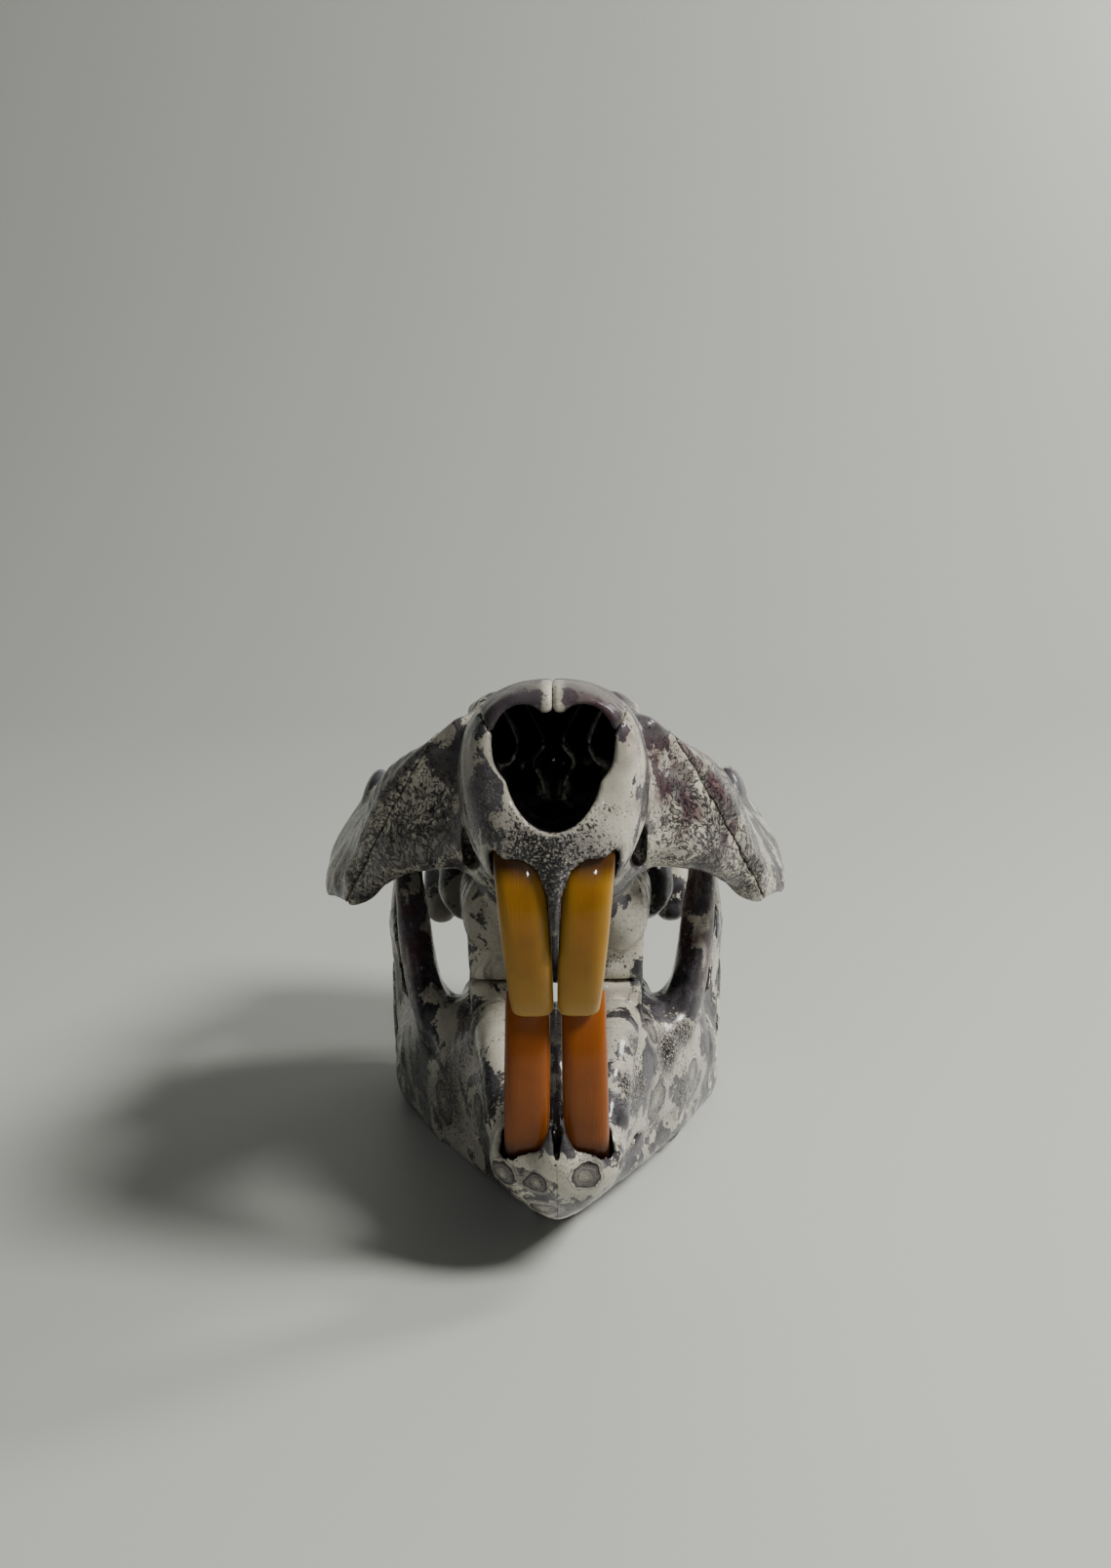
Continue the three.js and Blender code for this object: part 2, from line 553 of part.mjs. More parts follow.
function dentaryField() {
  const field = new Field([-8, -36, -6], [48, 98, 84], DENTARY_STEP, false);
  // Body of the jaw from the chin to the angle, with the sheath of the incisor along its lower edge.
  field.add(limb([
    [5.5, -22.6, 22.4, 6.2, 6.2], [5.3, -18, 15.8, 5.8, 6.2], [4.8, -10, 12.2, 4.8, 6.8],
    [5.4, 1, 11.8, 5, 9.2], [10.4, 15, 11.6, 6.6, 9.6], [17.8, 31, 11.5, 7, 9.4],
  ], [1, 0, 0]), 2);
  field.add(limb([
    [7.6, -4, 22, 10, 5.4], [12.2, 13, 20.6, 13.6, 7], [19.4, 29, 17.8, 14.4, 7.2],
    [26.6, 45, 17.2, 14.6, 5.8], [31, 60, 17.6, 17, 4],
  ], [0, 0, 1]), 4);
  field.add(blob([2.6, 1.5, 7.2], [3.7, 7.5, 8]), 2.5);
  field.add(blob([0, -11, 14], [4.2, 12.5, 7.8], [-40, 0, 0]), 3);
  field.add(blob([8, -13, 21], [4.4, 8, 7.4], [-30, 0, 0]), 3);
  field.add(limb([[8.8, -14.5, 27, 4, 4.6], [10.2, -5, 33.6, 4.2, 4.8], [11.6, 9, 34.6, 4.8, 5]],
    [1, 0, 0]), 3);
  // Wedge of bone that rises between the incisors, and the ridge behind it where the two halves meet.
  field.add(limb([
    [0, -19, 13, 8, 4], [0, -26.2, 20, 5.4, 3], [0, -28.8, 26, 2.8, 2.4], [0, -29.4, 33, 1, 1.8],
  ], [1, 0, 0]), 1.2);
  field.add(limb([[0, -16, 22, 6, 7], [0, -6, 28, 5, 11.4], [0, 7, 28, 4, 11.6]], [1, 0, 0]), 3);
  field.add(limb([[12, 13, 28, 9, 5.4], [13.4, 29, 27, 8.6, 6], [15, 47, 26, 7, 5.4]], [0, 0, 1]), 4);
  for (const tooth of cheekTeeth(-1, 28)) field.add(tooth, 0.6);
  // Rising branch: muscle process in front, joint process behind, and the rounded angle.
  field.add(limb([
    [24.6, 33, 25, 9, 3.4], [28.2, 40, 40, 8.6, 2.8], [30.6, 47.5, 55, 7.6, 2.4], [31.4, 54, 68, 5.2, 2],
    [31, 59, 75.5, 2.4, 1.5],
  ], [0, 1, 0.1]), 3);
  field.add(limb([
    [31.6, 58, 24, 15, 3.2], [33.8, 66, 40, 10, 2.8], [33.2, 70.5, 50, 7, 2.8], [31.2, 73, 55.6, 5, 3],
  ], [0, 1, 0.1]), 3);
  field.add(blob(JAW_JOINT.centre, JAW_JOINT.radii, [-6, 0, 0]), 1.5);
  field.add(blob([33, 68, 20], [3.8, 21, 19.8], [0, 8, 0]), 3);
  // Muscle ridges: along the flared lower edge and up the front of the rising branch.
  field.add(limb([
    [6, -1, 6.6, 4, 4], [12.4, 9, 6.2, 4, 3.8], [19, 22, 6, 3.4, 3.2], [27, 43, 5, 3, 3.2],
    [32.6, 60, 3.8, 3, 3.4], [35.4, 76, 11, 2.6, 2.6], [36.6, 82, 24, 2, 2],
  ], [1, 0, 0]), 3);
  field.add(limb([[20.4, 21, 25, 3, 3], [26.6, 33, 33, 2.6, 2.8], [29.6, 39.6, 47, 2.4, 2.6],
    [31.2, 46, 62, 2, 2]], [0, 1, 0]), 3);
  // Hollows on the inner and outer faces, and the slope that brings the chin to a keel.
  field.carve(blob([38.4, 55, 27], [6, 15, 12], [0, 8, 0]), 4);
  field.carve(blob([25, 66, 18], [5, 14, 12]), 4);
  field.carve(slope([5.6, 0, 1.9], [-1, 0.6, 1.2], [3, -36, -3], [22, 22, 24]), 1.5);
  return field;
}

// Parting cuts.

// Prism over an outline in plan, standing at z = 0.
function prism(outline, height) {
  const shape = new THREE.Shape(outline.map(([x, y]) => new THREE.Vector2(x, y)));
  return new THREE.ExtrudeGeometry(shape, { depth: height, bevelEnabled: false });
}

// The roof of the snout, over a floor that falls towards the back.
function nasalZone(inset) {
  const FRONT_HALF = 12.4;
  const BACK_HALF = 7.4;
  const BACK_Y = 16;
  const FLOOR_Z = 96.4;
  const FALL_DEGREES = 8;
  const HEIGHT = 16;
  const outline = [
    [inset / 2, NOSE_Y - 6], [FRONT_HALF - inset, NOSE_Y - 6], [FRONT_HALF + 0.4 - inset, -14],
    [BACK_HALF + 2.2 - inset, 6], [BACK_HALF - inset, BACK_Y - inset], [inset / 2, BACK_Y + 2 - inset],
  ];
  const geometry = prism(outline, HEIGHT).translate(0, -NOSE_Y, 0);
  geometry.rotateX(THREE.MathUtils.degToRad(-FALL_DEGREES));
  return solidOf(geometry.translate(0, NOSE_Y, FLOOR_Z + inset));
}

// The outer cheek. Its seam leans outwards as it falls, along the ridge in front of it.
function cheekZone(inset) {
  const FRONT_X = 37.6;
  const INNER_X = 30;
  const OUTER_X = 72;
  const BACK_Y = 71;
  const LOW_Z = 30;
  const HEIGHT = 70;
  const LEAN = 0.61;
  const LEAN_Z = 68;
  const outline = [
    [FRONT_X + inset, 0], [OUTER_X, 0], [OUTER_X, BACK_Y - inset], [INNER_X + inset, BACK_Y - inset],
    [INNER_X + inset, 40],
  ];
  const leaning = new THREE.Matrix4().set(1, 0, -LEAN, LEAN * LEAN_Z, 0, 1, 0, 0, 0, 0, 1, 0, 0, 0, 0, 1);
  return solidOf(prism(outline, HEIGHT).translate(0, 0, LOW_Z).applyMatrix4(leaning));
}

const mirror = (solid) => solid.mirror([1, 0, 0]);

function colour(hex, roughness) {
  return new THREE.MeshStandardMaterial({ color: hex, roughness, metalness: 0 });
}

const BONE = colour(0xb9b4a6, 0.35);
const JAW_BONE = colour(0xc4bfb0, 0.35);
const UPPER_ENAMEL = colour(0xb07d2c, 0.25);
const LOWER_ENAMEL = colour(0x9a5222, 0.3);

const skull = new THREE.Group();
skull.name = 'beaver_skull';

function place(name, solid, material) {
  const mesh = new THREE.Mesh(geometryOf(largest(solid)), material.clone());
  mesh.name = name;
  skull.add(mesh);
}

function placePair(name, solid, material) {
  place(`${name}_left`, solid, material);
  place(`${name}_right`, mirror(solid), material);
}

const upperSocket = incisor(UPPER_INCISOR, GAP);
const lowerSocket = incisor(LOWER_INCISOR, GAP);

const dentary = solidFromField(dentaryField(), DENTARY_TRIANGLES)
  .subtract(lowerSocket)
  .intersect(box([GAP / 2, -60, 0], [80, 120, 120]));
const wholeCranium = solidFromField(craniumField(), CRANIUM_TRIANGLES)
  .subtract(upperSocket)
  .subtract(mirror(upperSocket));
const nasal = wholeCranium.intersect(nasalZone(GAP));
const cheek = wholeCranium.intersect(cheekZone(GAP));
const zones = nasalZone(0).add(mirror(nasalZone(0))).add(cheekZone(0)).add(mirror(cheekZone(0)));

place('cranium', wholeCranium.subtract(zones), BONE);
placePair('nasal', nasal, BONE);
placePair('cheekbone', cheek, BONE);
placePair('dentary', dentary, JAW_BONE);
placePair('upper_incisor', incisor(UPPER_INCISOR), UPPER_ENAMEL);
placePair('lower_incisor', incisor(LOWER_INCISOR), LOWER_ENAMEL);
skull.position.y = -FOOTPRINT_MIDDLE_Y;

export default skull;
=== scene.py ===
"""Beaver skull with its lower jaw: mottled, glossy bone and orange incisors on a pale studio floor."""

import math
from types import SimpleNamespace

import bmesh
import bpy
import numpy as np
import openvdb
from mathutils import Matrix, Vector


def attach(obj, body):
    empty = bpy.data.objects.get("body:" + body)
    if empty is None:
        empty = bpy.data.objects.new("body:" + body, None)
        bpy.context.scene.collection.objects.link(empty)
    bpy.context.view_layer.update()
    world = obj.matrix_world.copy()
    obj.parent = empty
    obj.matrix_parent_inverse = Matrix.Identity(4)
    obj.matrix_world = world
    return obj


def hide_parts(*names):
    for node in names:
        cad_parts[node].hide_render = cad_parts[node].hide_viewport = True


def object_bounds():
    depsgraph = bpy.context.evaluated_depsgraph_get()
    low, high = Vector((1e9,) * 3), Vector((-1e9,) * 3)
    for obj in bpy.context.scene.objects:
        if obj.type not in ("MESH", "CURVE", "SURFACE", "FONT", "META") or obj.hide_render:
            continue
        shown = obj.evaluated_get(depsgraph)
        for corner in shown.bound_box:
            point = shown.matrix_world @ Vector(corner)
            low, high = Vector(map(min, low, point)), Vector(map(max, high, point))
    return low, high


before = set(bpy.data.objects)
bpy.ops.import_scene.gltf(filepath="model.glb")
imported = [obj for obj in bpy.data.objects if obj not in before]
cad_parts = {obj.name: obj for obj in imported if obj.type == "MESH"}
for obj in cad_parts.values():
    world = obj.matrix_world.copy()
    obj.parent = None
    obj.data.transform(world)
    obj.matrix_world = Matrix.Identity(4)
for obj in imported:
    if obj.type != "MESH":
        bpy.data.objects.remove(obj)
CAD_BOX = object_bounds()

bl_info = {
    "name": "Beaver Skull",
    "version": (1, 0, 0),
    "blender": (4, 5, 0),
    "location": "View3D > Sidebar > Skull",
    "description": "Builds a beaver skull with its lower jaw, and the stage it rests on",
    "category": "Add Mesh",
}

# Lengths are in millimetres while a bone is shaped. y is counted from the chin's resting point.
MM = 0.001
FOOTPRINT_MIDDLE_Y = 36.2
FAR = 12.0

NOSE_Y = -31.5
OCCIPUT_Y = 103.5
ARCH_HALF_BREADTH = 45.2
ROSTRUM_HALF_WIDTH = 16.5
BRAINCASE_HALF_WIDTH = 25.5

OCCLUSAL_Z = 41.9
OCCLUSAL_Y = 17.0
OCCLUSAL_FALL = 0.139
CHEEK_TOOTH_COUNT = 4
CHEEK_ROW = {"first_y": 18.2, "first_x": 12.2, "outward": 0.07, "gap": 0.5}
CHEEK_TOOTH = {"length": 8.6, "shrink": 0.5, "half_width": 4.6, "narrowing": 0.15, "round": 1.2}
# A fold down the side of a cheek tooth: the side it is on, and how far behind the tooth's middle.
TOOTH_FOLDS = ((1, 1.4), (1, -1.8), (-1, 0))
FOLD = {"above_bite": 0.5, "depth": 6, "top_radius": 0.7, "end_radius": 0.5}
BITE_CLEARANCE = 0.15

UPPER_INCISOR = {
    "arc_y": -5.8, "arc_z": 66.7, "arc_radius": 29.0, "front": 2.8, "back": 5.4,
    "tip": -35.2, "root": 27.0, "bevel": 22.0,
    "tip_inner": 0.3, "root_inner": 1.9, "tip_outer": 7.45, "root_outer": 10.2,
}
LOWER_INCISOR = {
    "arc_y": 8.6, "arc_z": 37.0, "arc_radius": 38.0, "front": 2.6, "back": 5.2,
    "tip": 25.5, "root": -33.0, "bevel": 12.0,
    "tip_inner": 0.9, "root_inner": 1.4, "tip_outer": 8.5, "root_outer": 9.2,
}
INCISOR_POWER = {"front": 0.62, "back": 0.9}
THINNEST_WEAR = 0.12
SHARP_DEGREES = 60
NERVE_HOLE = (14.9, 5.3, 13.0)
NERVE_HOLE_RADII = (1.9, 1.9, 1.1)
JAW_JOINT = {"centre": (30.6, 73.0, 57.4), "radii": (4.4, 6.4, 3.4), "clearance": 0.7}

# Camera, read from the photograph: the image is 1139 by 1608 pixels.
IMAGE_HEIGHT = 1608
FOCAL_PIXELS = 1700
CAMERA_PLACE = (0.8, -292.0, 142.5)
CAMERA_PITCH = 11.43
CAMERA_ROLL = 0.5


class SkullSizes(bpy.types.PropertyGroup):
    """Sizes that a user may change."""
    grain: bpy.props.FloatProperty(
        name="Grain", description="Grid step of the modelled bone surface",
        default=0.0006, min=0.0004, max=0.002, precision=5, unit="LENGTH")
    suture: bpy.props.FloatProperty(
        name="Suture", description="Half the width of the seam between two bones",
        default=0.00003, min=0.00002, max=0.0004, precision=5, unit="LENGTH")
    socket: bpy.props.FloatProperty(
        name="Socket", description="Room between an incisor and its socket",
        default=0.0006, min=0.0001, max=0.001, precision=5, unit="LENGTH")
    unevenness: bpy.props.FloatProperty(
        name="Unevenness", description="Height of the gentle swells on the bone",
        default=0.00016, min=0.0, max=0.0006, precision=5, unit="LENGTH")


def millimetres(sizes):
    """The sizes in millimetres, as the bones are shaped."""
    names = ("grain", "suture", "socket", "unevenness")
    return SimpleNamespace(**{name: getattr(sizes, name) / MM for name in names})


class SkullColours(bpy.types.PropertyGroup):
    """Colours that a user may change."""
    cream: bpy.props.FloatVectorProperty(
        name="Cream", description="Pale bone",
        subtype="COLOR", size=3, default=(0.49, 0.46, 0.375))
    grey: bpy.props.FloatVectorProperty(
        name="Grey", description="Grey patches",
        subtype="COLOR", size=3, default=(0.085, 0.081, 0.088))
    # Dark is also the colour of the painted shade in the nose, behind and round the incisors and in the nerve
    # holes.
    dark: bpy.props.FloatVectorProperty(
        name="Dark", description="Dark speckle",
        subtype="COLOR", size=3, default=(0.007, 0.0055, 0.007))
    maroon: bpy.props.FloatVectorProperty(
        name="Maroon", description="Purple-brown stain",
        subtype="COLOR", size=3, default=(0.06, 0.022, 0.03))
    # Plum is also the painted shade on the face beside the upper jaw and on the right jaw branch.
    plum: bpy.props.FloatVectorProperty(
        name="Plum", description="Smooth purple-grey of the nose",
        subtype="COLOR", size=3, default=(0.05, 0.041, 0.046))
    amber: bpy.props.FloatVectorProperty(
        name="Amber", description="Upper incisor enamel",
        subtype="COLOR", size=3, default=(0.29, 0.147, 0.014))
    rust: bpy.props.FloatVectorProperty(
        name="Rust", description="Lower incisor enamel",
        subtype="COLOR", size=3, default=(0.21, 0.057, 0.008))
    floor: bpy.props.FloatVectorProperty(
        name="Floor", description="Studio floor",
        subtype="COLOR", size=3, default=(0.47, 0.48, 0.457))


# Forms: a form has a box and gives the distance of points from its surface, below zero inside.

class Form:
    """A rounded mass of bone, or a hollow of the same shape."""

    def __init__(self, low, high, distance):
        self.low = low
        self.high = high
        self.distance = distance


def smooth_min(a, b, blend):
    near = np.maximum(blend - np.abs(a - b), 0) / blend
    return np.minimum(a, b) - near * near * (blend / 4)


def oval_distance(u, v, w, a, b, c):
    tiny = 1e-10
    reach = np.sqrt((u / a) ** 2 + (v / b) ** 2 + (w / c) ** 2 + tiny)
    steepness = np.sqrt((u / (a * a)) ** 2 + (v / (b * b)) ** 2 + (w / (c * c)) ** 2 + tiny)
    return reach * (reach - 1) / steepness


def turned_axes(turn):
    """Rows are the local x, y and z axes of a form turned about x, y and z by degrees."""
    ax, ay, az = (math.radians(t) for t in turn)
    about_x = np.array([[1, 0, 0], [0, math.cos(ax), -math.sin(ax)], [0, math.sin(ax), math.cos(ax)]])
    about_y = np.array([[math.cos(ay), 0, math.sin(ay)], [0, 1, 0], [-math.sin(ay), 0, math.cos(ay)]])
    about_z = np.array([[math.cos(az), -math.sin(az), 0], [math.sin(az), math.cos(az), 0], [0, 0, 1]])
    return (about_x @ about_y @ about_z).T


def blob(centre, radii, turn=(0, 0, 0)):
    """An ellipsoid."""
    axes = turned_axes(turn)
    reach = max(radii)

    def distance(x, y, z):
        u, v, w = (a[0] * (x - centre[0]) + a[1] * (y - centre[1]) + a[2] * (z - centre[2]) for a in axes)
        return oval_distance(u, v, w, *radii)

    return Form([c - reach for c in centre], [c + reach for c in centre], distance)


def block(centre, half, rounding):
    """A box with rounded edges."""
    def distance(x, y, z):
        over = [np.abs(p - c) - h + rounding for p, c, h in zip((x, y, z), centre, half)]
        outside = np.sqrt(sum(np.maximum(o, 0) ** 2 for o in over))
        inside = np.minimum(np.maximum(np.maximum(over[0], over[1]), over[2]), 0)
        return outside + inside - rounding

    return Form([c - h for c, h in zip(centre, half)], [c + h for c, h in zip(centre, half)], distance)


def smooth_points(points, pieces):
    """Points on a curve that passes evenly through the given ones."""
    line = [2 * points[0] - points[1], *points, 2 * points[-1] - points[-2]]
    out = []
    for k in range(1, len(line) - 2):
        p0, p1, p2, p3 = line[k - 1:k + 3]
        d0, d1, d2 = (max(np.linalg.norm(b - a) ** 0.5, 1e-4) for a, b in ((p0, p1), (p1, p2), (p2, p3)))
        t1 = ((p1 - p0) / d0 - (p2 - p0) / (d0 + d1) + (p2 - p1) / d1) * d1
        t2 = ((p2 - p1) / d1 - (p3 - p1) / (d1 + d2) + (p3 - p2) / d2) * d1
        for i in range(pieces):
            s = i / pieces
            cubic = 2 * p1 - 2 * p2 + t1 + t2
            square = -3 * p1 + 3 * p2 - 2 * t1 - t2
            out.append(p1 + t1 * s + square * s * s + cubic * s ** 3)
    out.append(points[-1])
    return out


def limb(stations, facing, pieces=4):
    """An oval section swept along a curve. A station is (x, y, z, half width, half thickness)."""
    table = np.array(stations, dtype=float)
    points = smooth_points(list(table[:, :3]), pieces)
    at = np.linspace(0, len(stations) - 1, len(points))
    wide = np.interp(at, range(len(stations)), table[:, 3])
    thin = np.interp(at, range(len(stations)), table[:, 4])
    reach = table[:, 3:].max()

    def distance(x, y, z):
        nearest = None
        for i in range(len(points) - 1):
            start = points[i]
            along = points[i + 1] - start
            length = np.linalg.norm(along)
            along = along / length
            across = np.array(facing) - along * np.dot(along, facing)
            across = across / np.linalg.norm(across)
            through = np.cross(along, across)
            dx, dy, dz = x - start[0], y - start[1], z - start[2]
            run = along[0] * dx + along[1] * dy + along[2] * dz
            share = np.clip(run / length, 0, 1)
            d = oval_distance(
                across[0] * dx + across[1] * dy + across[2] * dz,
                through[0] * dx + through[1] * dy + through[2] * dz,
                run - share * length,
                wide[i] + share * (wide[i + 1] - wide[i]),
                thin[i] + share * (thin[i + 1] - thin[i]),
                thin[i] + share * (thin[i + 1] - thin[i]))
            nearest = d if nearest is None else np.minimum(nearest, d)
        return nearest

    spread = np.array(points)
    return Form(spread.min(axis=0) - reach, spread.max(axis=0) + reach, distance)


def trunk(stations, end_round):
    """A long box of bone along y. A station is (y, half width, bottom, top, squareness)."""
    table = np.array(stations, dtype=float)
    first, last = table[0, 0], table[-1, 0]

    def distance(x, y, z):
        inside = np.clip(y, first, last - 1e-6)
        k = np.clip(np.searchsorted(table[:, 0], inside, side="right"), 1, len(table) - 1)
        t = (inside - table[k - 1, 0]) / (table[k, 0] - table[k - 1, 0])
        share = t * t * (3 - 2 * t)
        half_width, bottom, top, square = (
            table[k - 1, c] + share * (table[k, c] - table[k - 1, c]) for c in (1, 2, 3, 4))
        half_height = (top - bottom) / 2
        u = np.abs(x) / half_width
        v = np.abs(z - (top + bottom) / 2) / half_height
        section = ((u ** square + v ** square) ** (1 / square) - 1) * np.minimum(half_width, half_height)
        return -smooth_min(-section, -np.maximum(first - y, y - last), end_round)

    widest = table[:, 1].max()
    return Form([-widest, first, table[:, 2].min()], [widest, last, table[:, 3].max()], distance)


def slope(point, kept, low, high):
    """A flat cut through a point; the vector leads into the bone that is kept."""
    way = np.array(kept) / np.linalg.norm(kept)

    def distance(x, y, z):
        return way[0] * (x - point[0]) + way[1] * (y - point[1]) + way[2] * (z - point[2])

    return Form(low, high, distance)


class Field:
    """A grid of distances that bone is added to and carved from. A mirrored field holds x from 0 up."""
    margin = 3

    def __init__(self, low, high, step, mirrored):
        self.low = [0.0 if mirrored else low[0], low[1], low[2]]
        self.step = step
        self.mirrored = mirrored
        self.axes = [np.arange(a, b + step, step) for a, b in zip(self.low, high)]
        self.values = np.full([len(a) for a in self.axes], FAR)

    def window(self, form, blend):
        """The part of the grid that a form can change."""
        reach = blend + self.margin
        window = []
        for axis, low, high in zip(self.axes, form.low, form.high):
            start = np.searchsorted(axis, low - reach)
            window.append(slice(start, max(start, np.searchsorted(axis, high + reach))))
        return tuple(window)

    def grid(self, window=(slice(None), slice(None), slice(None))):
        x, y, z = (axis[part] for axis, part in zip(self.axes, window))
        return x[:, None, None], y[None, :, None], z[None, None, :]

    def add(self, form, blend):
        window = self.window(form, blend)
        self.values[window] = smooth_min(self.values[window], form.distance(*self.grid(window)), blend)

    def carve(self, form, blend):
        window = self.window(form, blend)
        self.values[window] = -smooth_min(-self.values[window], form.distance(*self.grid(window)), blend)

    def cut(self, distance):
        """Keeps only the bone where the distance is below zero."""
        self.values = np.maximum(self.values, distance)

    def copy(self):
        other = Field(self.low, [a[-1] - self.step / 2 for a in self.axes], self.step, self.mirrored)
        other.values = self.values.copy()
        return other

    def roughen(self, height, seed):
        """Adds gentle swells: waves in seeded directions, only near the surface."""
        draw = np.random.default_rng(seed)
        near = np.nonzero(np.abs(self.values) < 2)
        place = np.stack([axis[n] for axis, n in zip(self.axes, near)], axis=1)
        swell = np.zeros(len(place))
        for wavelength, weight, count in ((16.0, 0.9, 5), (7.5, 0.7, 8), (3.6, 0.4, 10)):
            ways = draw.normal(size=(count, 3))
            ways /= np.linalg.norm(ways, axis=1)[:, None]
            phases = draw.uniform(0, 2 * math.pi, count)
            swell += weight * np.sin(place @ ways.T * (2 * math.pi / wavelength) + phases).mean(axis=1) * 2
        self.values[near] += height * swell


def prism(outline, floor, tilt, pivot_y):
    """A convex outline in plan, standing on a floor that falls towards the back by the tilt."""
    level, rise = math.cos(math.radians(tilt)), math.sin(math.radians(tilt))
    corners = [np.array(c, dtype=float) for c in outline]

    def distance(x, y, z):
        local_y = pivot_y + (y - pivot_y) * level - (z - floor) * rise
        local_z = (y - pivot_y) * rise + (z - floor) * level
        nearest = -local_z + 0 * x
        for a, b in zip(corners, corners[1:] + corners[:1]):
            way = (b - a) / np.linalg.norm(b - a)
            nearest = np.maximum(nearest, (x - a[0]) * way[1] - (local_y - a[1]) * way[0])
        return nearest

    return distance


def nasal_zone():
    """The roof of the snout; its lower edge curves up towards the sides."""
    front_half, back_half, back_y = 12.4, 7.4, 16.0
    floor, curl = 95.4, 7.0
    outline = [
        (-20, NOSE_Y - 6), (front_half, NOSE_Y - 6), (front_half + 0.4, -14),
        (back_half + 2.2, 6), (back_half, back_y), (0, back_y + 2), (-20, back_y + 2),
    ]
    box = prism(outline, floor, 8, NOSE_Y)

    def distance(x, y, z):
        wander = 0.25 * np.sin(y * 0.9) + 0.15 * np.sin(y * 2.3 + 1)
        curled = z - curl * (np.abs(x) / front_half) ** 4
        return np.maximum(box(x + wander, y, curled), box(x + wander, y, z))

    return distance


def cheek_zone():
    """The outer cheek; its seam leans outwards as it falls, along the ridge in front of it."""
    front_x, back_y, lean, lean_z = 37.6, 71.0, 0.61, 68.0
    box = prism([(front_x, 0), (60, 0), (60, back_y), (30, back_y), (30, 40)], 30, 0, 0)

    def distance(x, y, z):
        wander = 0.12 * np.sin(z * 0.8) + 0.08 * np.sin(z * 1.9 + 2)
        return box(x - (lean_z - z) * lean + wander, y + wander, z)

    return distance


# Incisors.

def incisor_edges(size, share):
    inner = size["tip_inner"] + (size["root_inner"] - size["tip_inner"]) * share ** 2
    outer = size["tip_outer"] + (size["root_outer"] - size["tip_outer"]) * share
    return inner, outer


def incisor_form(size, room):
    """The space that an incisor fills, with some room around it."""
    def distance(x, y, z):
        forward, up = size["arc_y"] - y, z - size["arc_z"]
        radius = np.hypot(forward, up)
        angle = np.degrees(np.arctan2(up, forward))
        raw = (angle - size["tip"]) / (size["root"] - size["tip"])
        share = np.clip(raw, 0, 1)
        inner, outer = incisor_edges(size, share)
        half = (outer - inner) / 2 + room
        across = np.abs(x - (inner + outer) / 2) / half
        out = radius - (size["arc_radius"] - size["front"])
        depth = np.where(out > 0, size["front"], size["back"]) + room
        power = np.where(out > 0, INCISOR_POWER["front"], INCISOR_POWER["back"])
        section = (across ** (2 / power) + (np.abs(out) / depth) ** (2 / power)) ** (power / 2)
        past = (raw - 1) * abs(size["root"] - size["tip"]) * math.radians(1) * size["arc_radius"] - room
        return np.maximum((section - 1) * np.minimum(half, depth), past)

    reach = size["arc_radius"] + 2
    low = [-1, size["arc_y"] - reach, size["arc_z"] - reach]
    high = [size["root_outer"] + 2, size["arc_y"], size["arc_z"] + reach]
    return Form(low, high, distance)


# Cheek teeth: worn columns that meet at the bite plane.

def bite_height(y):
    return OCCLUSAL_Z - (y - OCCLUSAL_Y) * OCCLUSAL_FALL


def tooth_folds(x, y, half_width, bite, side):
    """Grooves down the sides of a cheek tooth, from the bite towards the root."""
    folds = []
    for way, behind in TOOTH_FOLDS:
        place = (x + way * half_width, y + behind)
        folds.append(limb([
            (*place, bite - side * FOLD["above_bite"], FOLD["top_radius"], FOLD["top_radius"]),
            (*place, bite + side * FOLD["depth"], FOLD["end_radius"], FOLD["end_radius"]),
        ], (0, 1, 0), 1))
    return folds


def add_cheek_teeth(field, side, root_z):
    """Adds a row of folded columns. The side is 1 for the upper row and -1 for the lower."""
    y = CHEEK_ROW["first_y"]
    for i in range(CHEEK_TOOTH_COUNT):
        length = CHEEK_TOOTH["length"] - i * CHEEK_TOOTH["shrink"]
        half_width = CHEEK_TOOTH["half_width"] - i * CHEEK_TOOTH["narrowing"]
        bite = bite_height(y) + side * BITE_CLEARANCE
        x = CHEEK_ROW["first_x"] + (y - CHEEK_ROW["first_y"]) * CHEEK_ROW["outward"]
        half = (half_width, length / 2, abs(bite - root_z) / 2)
        field.add(block((x, y, (bite + root_z) / 2), half, CHEEK_TOOTH["round"]), 0.6)
        for fold in tooth_folds(x, y, half_width, bite, side):
            field.carve(fold, 0.4)
        y += length + CHEEK_ROW["gap"] - CHEEK_TOOTH["shrink"] / 2


# Bones.

def shape_skull_run(field):
    r, b = ROSTRUM_HALF_WIDTH, BRAINCASE_HALF_WIDTH
    field.add(trunk([
        (NOSE_Y, r - 3.2, 78, 104.8, 2.5), (-24, r - 1.4, 72, 105.3, 2.5), (-10, r, 66, 103.6, 2.6),
        (5, r + 0.5, 57, 101, 2.6), (18, r - 0.5, 52, 98.6, 2.5), (32, r - 3, 52, 96, 2.4),
        (46, r - 4, 50, 93.4, 2.3), (60, r + 0.5, 50, 90.4, 2.2), (76, b - 3, 49, 86.5, 2.2),
        (92, b, 47, 81.5, 2.4), (OCCIPUT_Y, b - 2, 48, 77, 2.4),
    ], 3), 1)
    field.add(blob((0, 76, 66.5), (b, 27, 20.5), (8, 0, 0)), 5)


def shape_incisor_sheath(field):
    field.add(blob((5.9, -24.6, 79.5), (6.7, 9.2, 8.8)), 3)
    field.add(limb([(0, -27, 83, 8.4, 7), (0, -28, 76, 5.4, 7.4), (0, -28.4, 70.6, 2.2, 7.4),
                    (0, -28.8, 65.4, 0.9, 6.6)], (1, 0, 0)), 2)


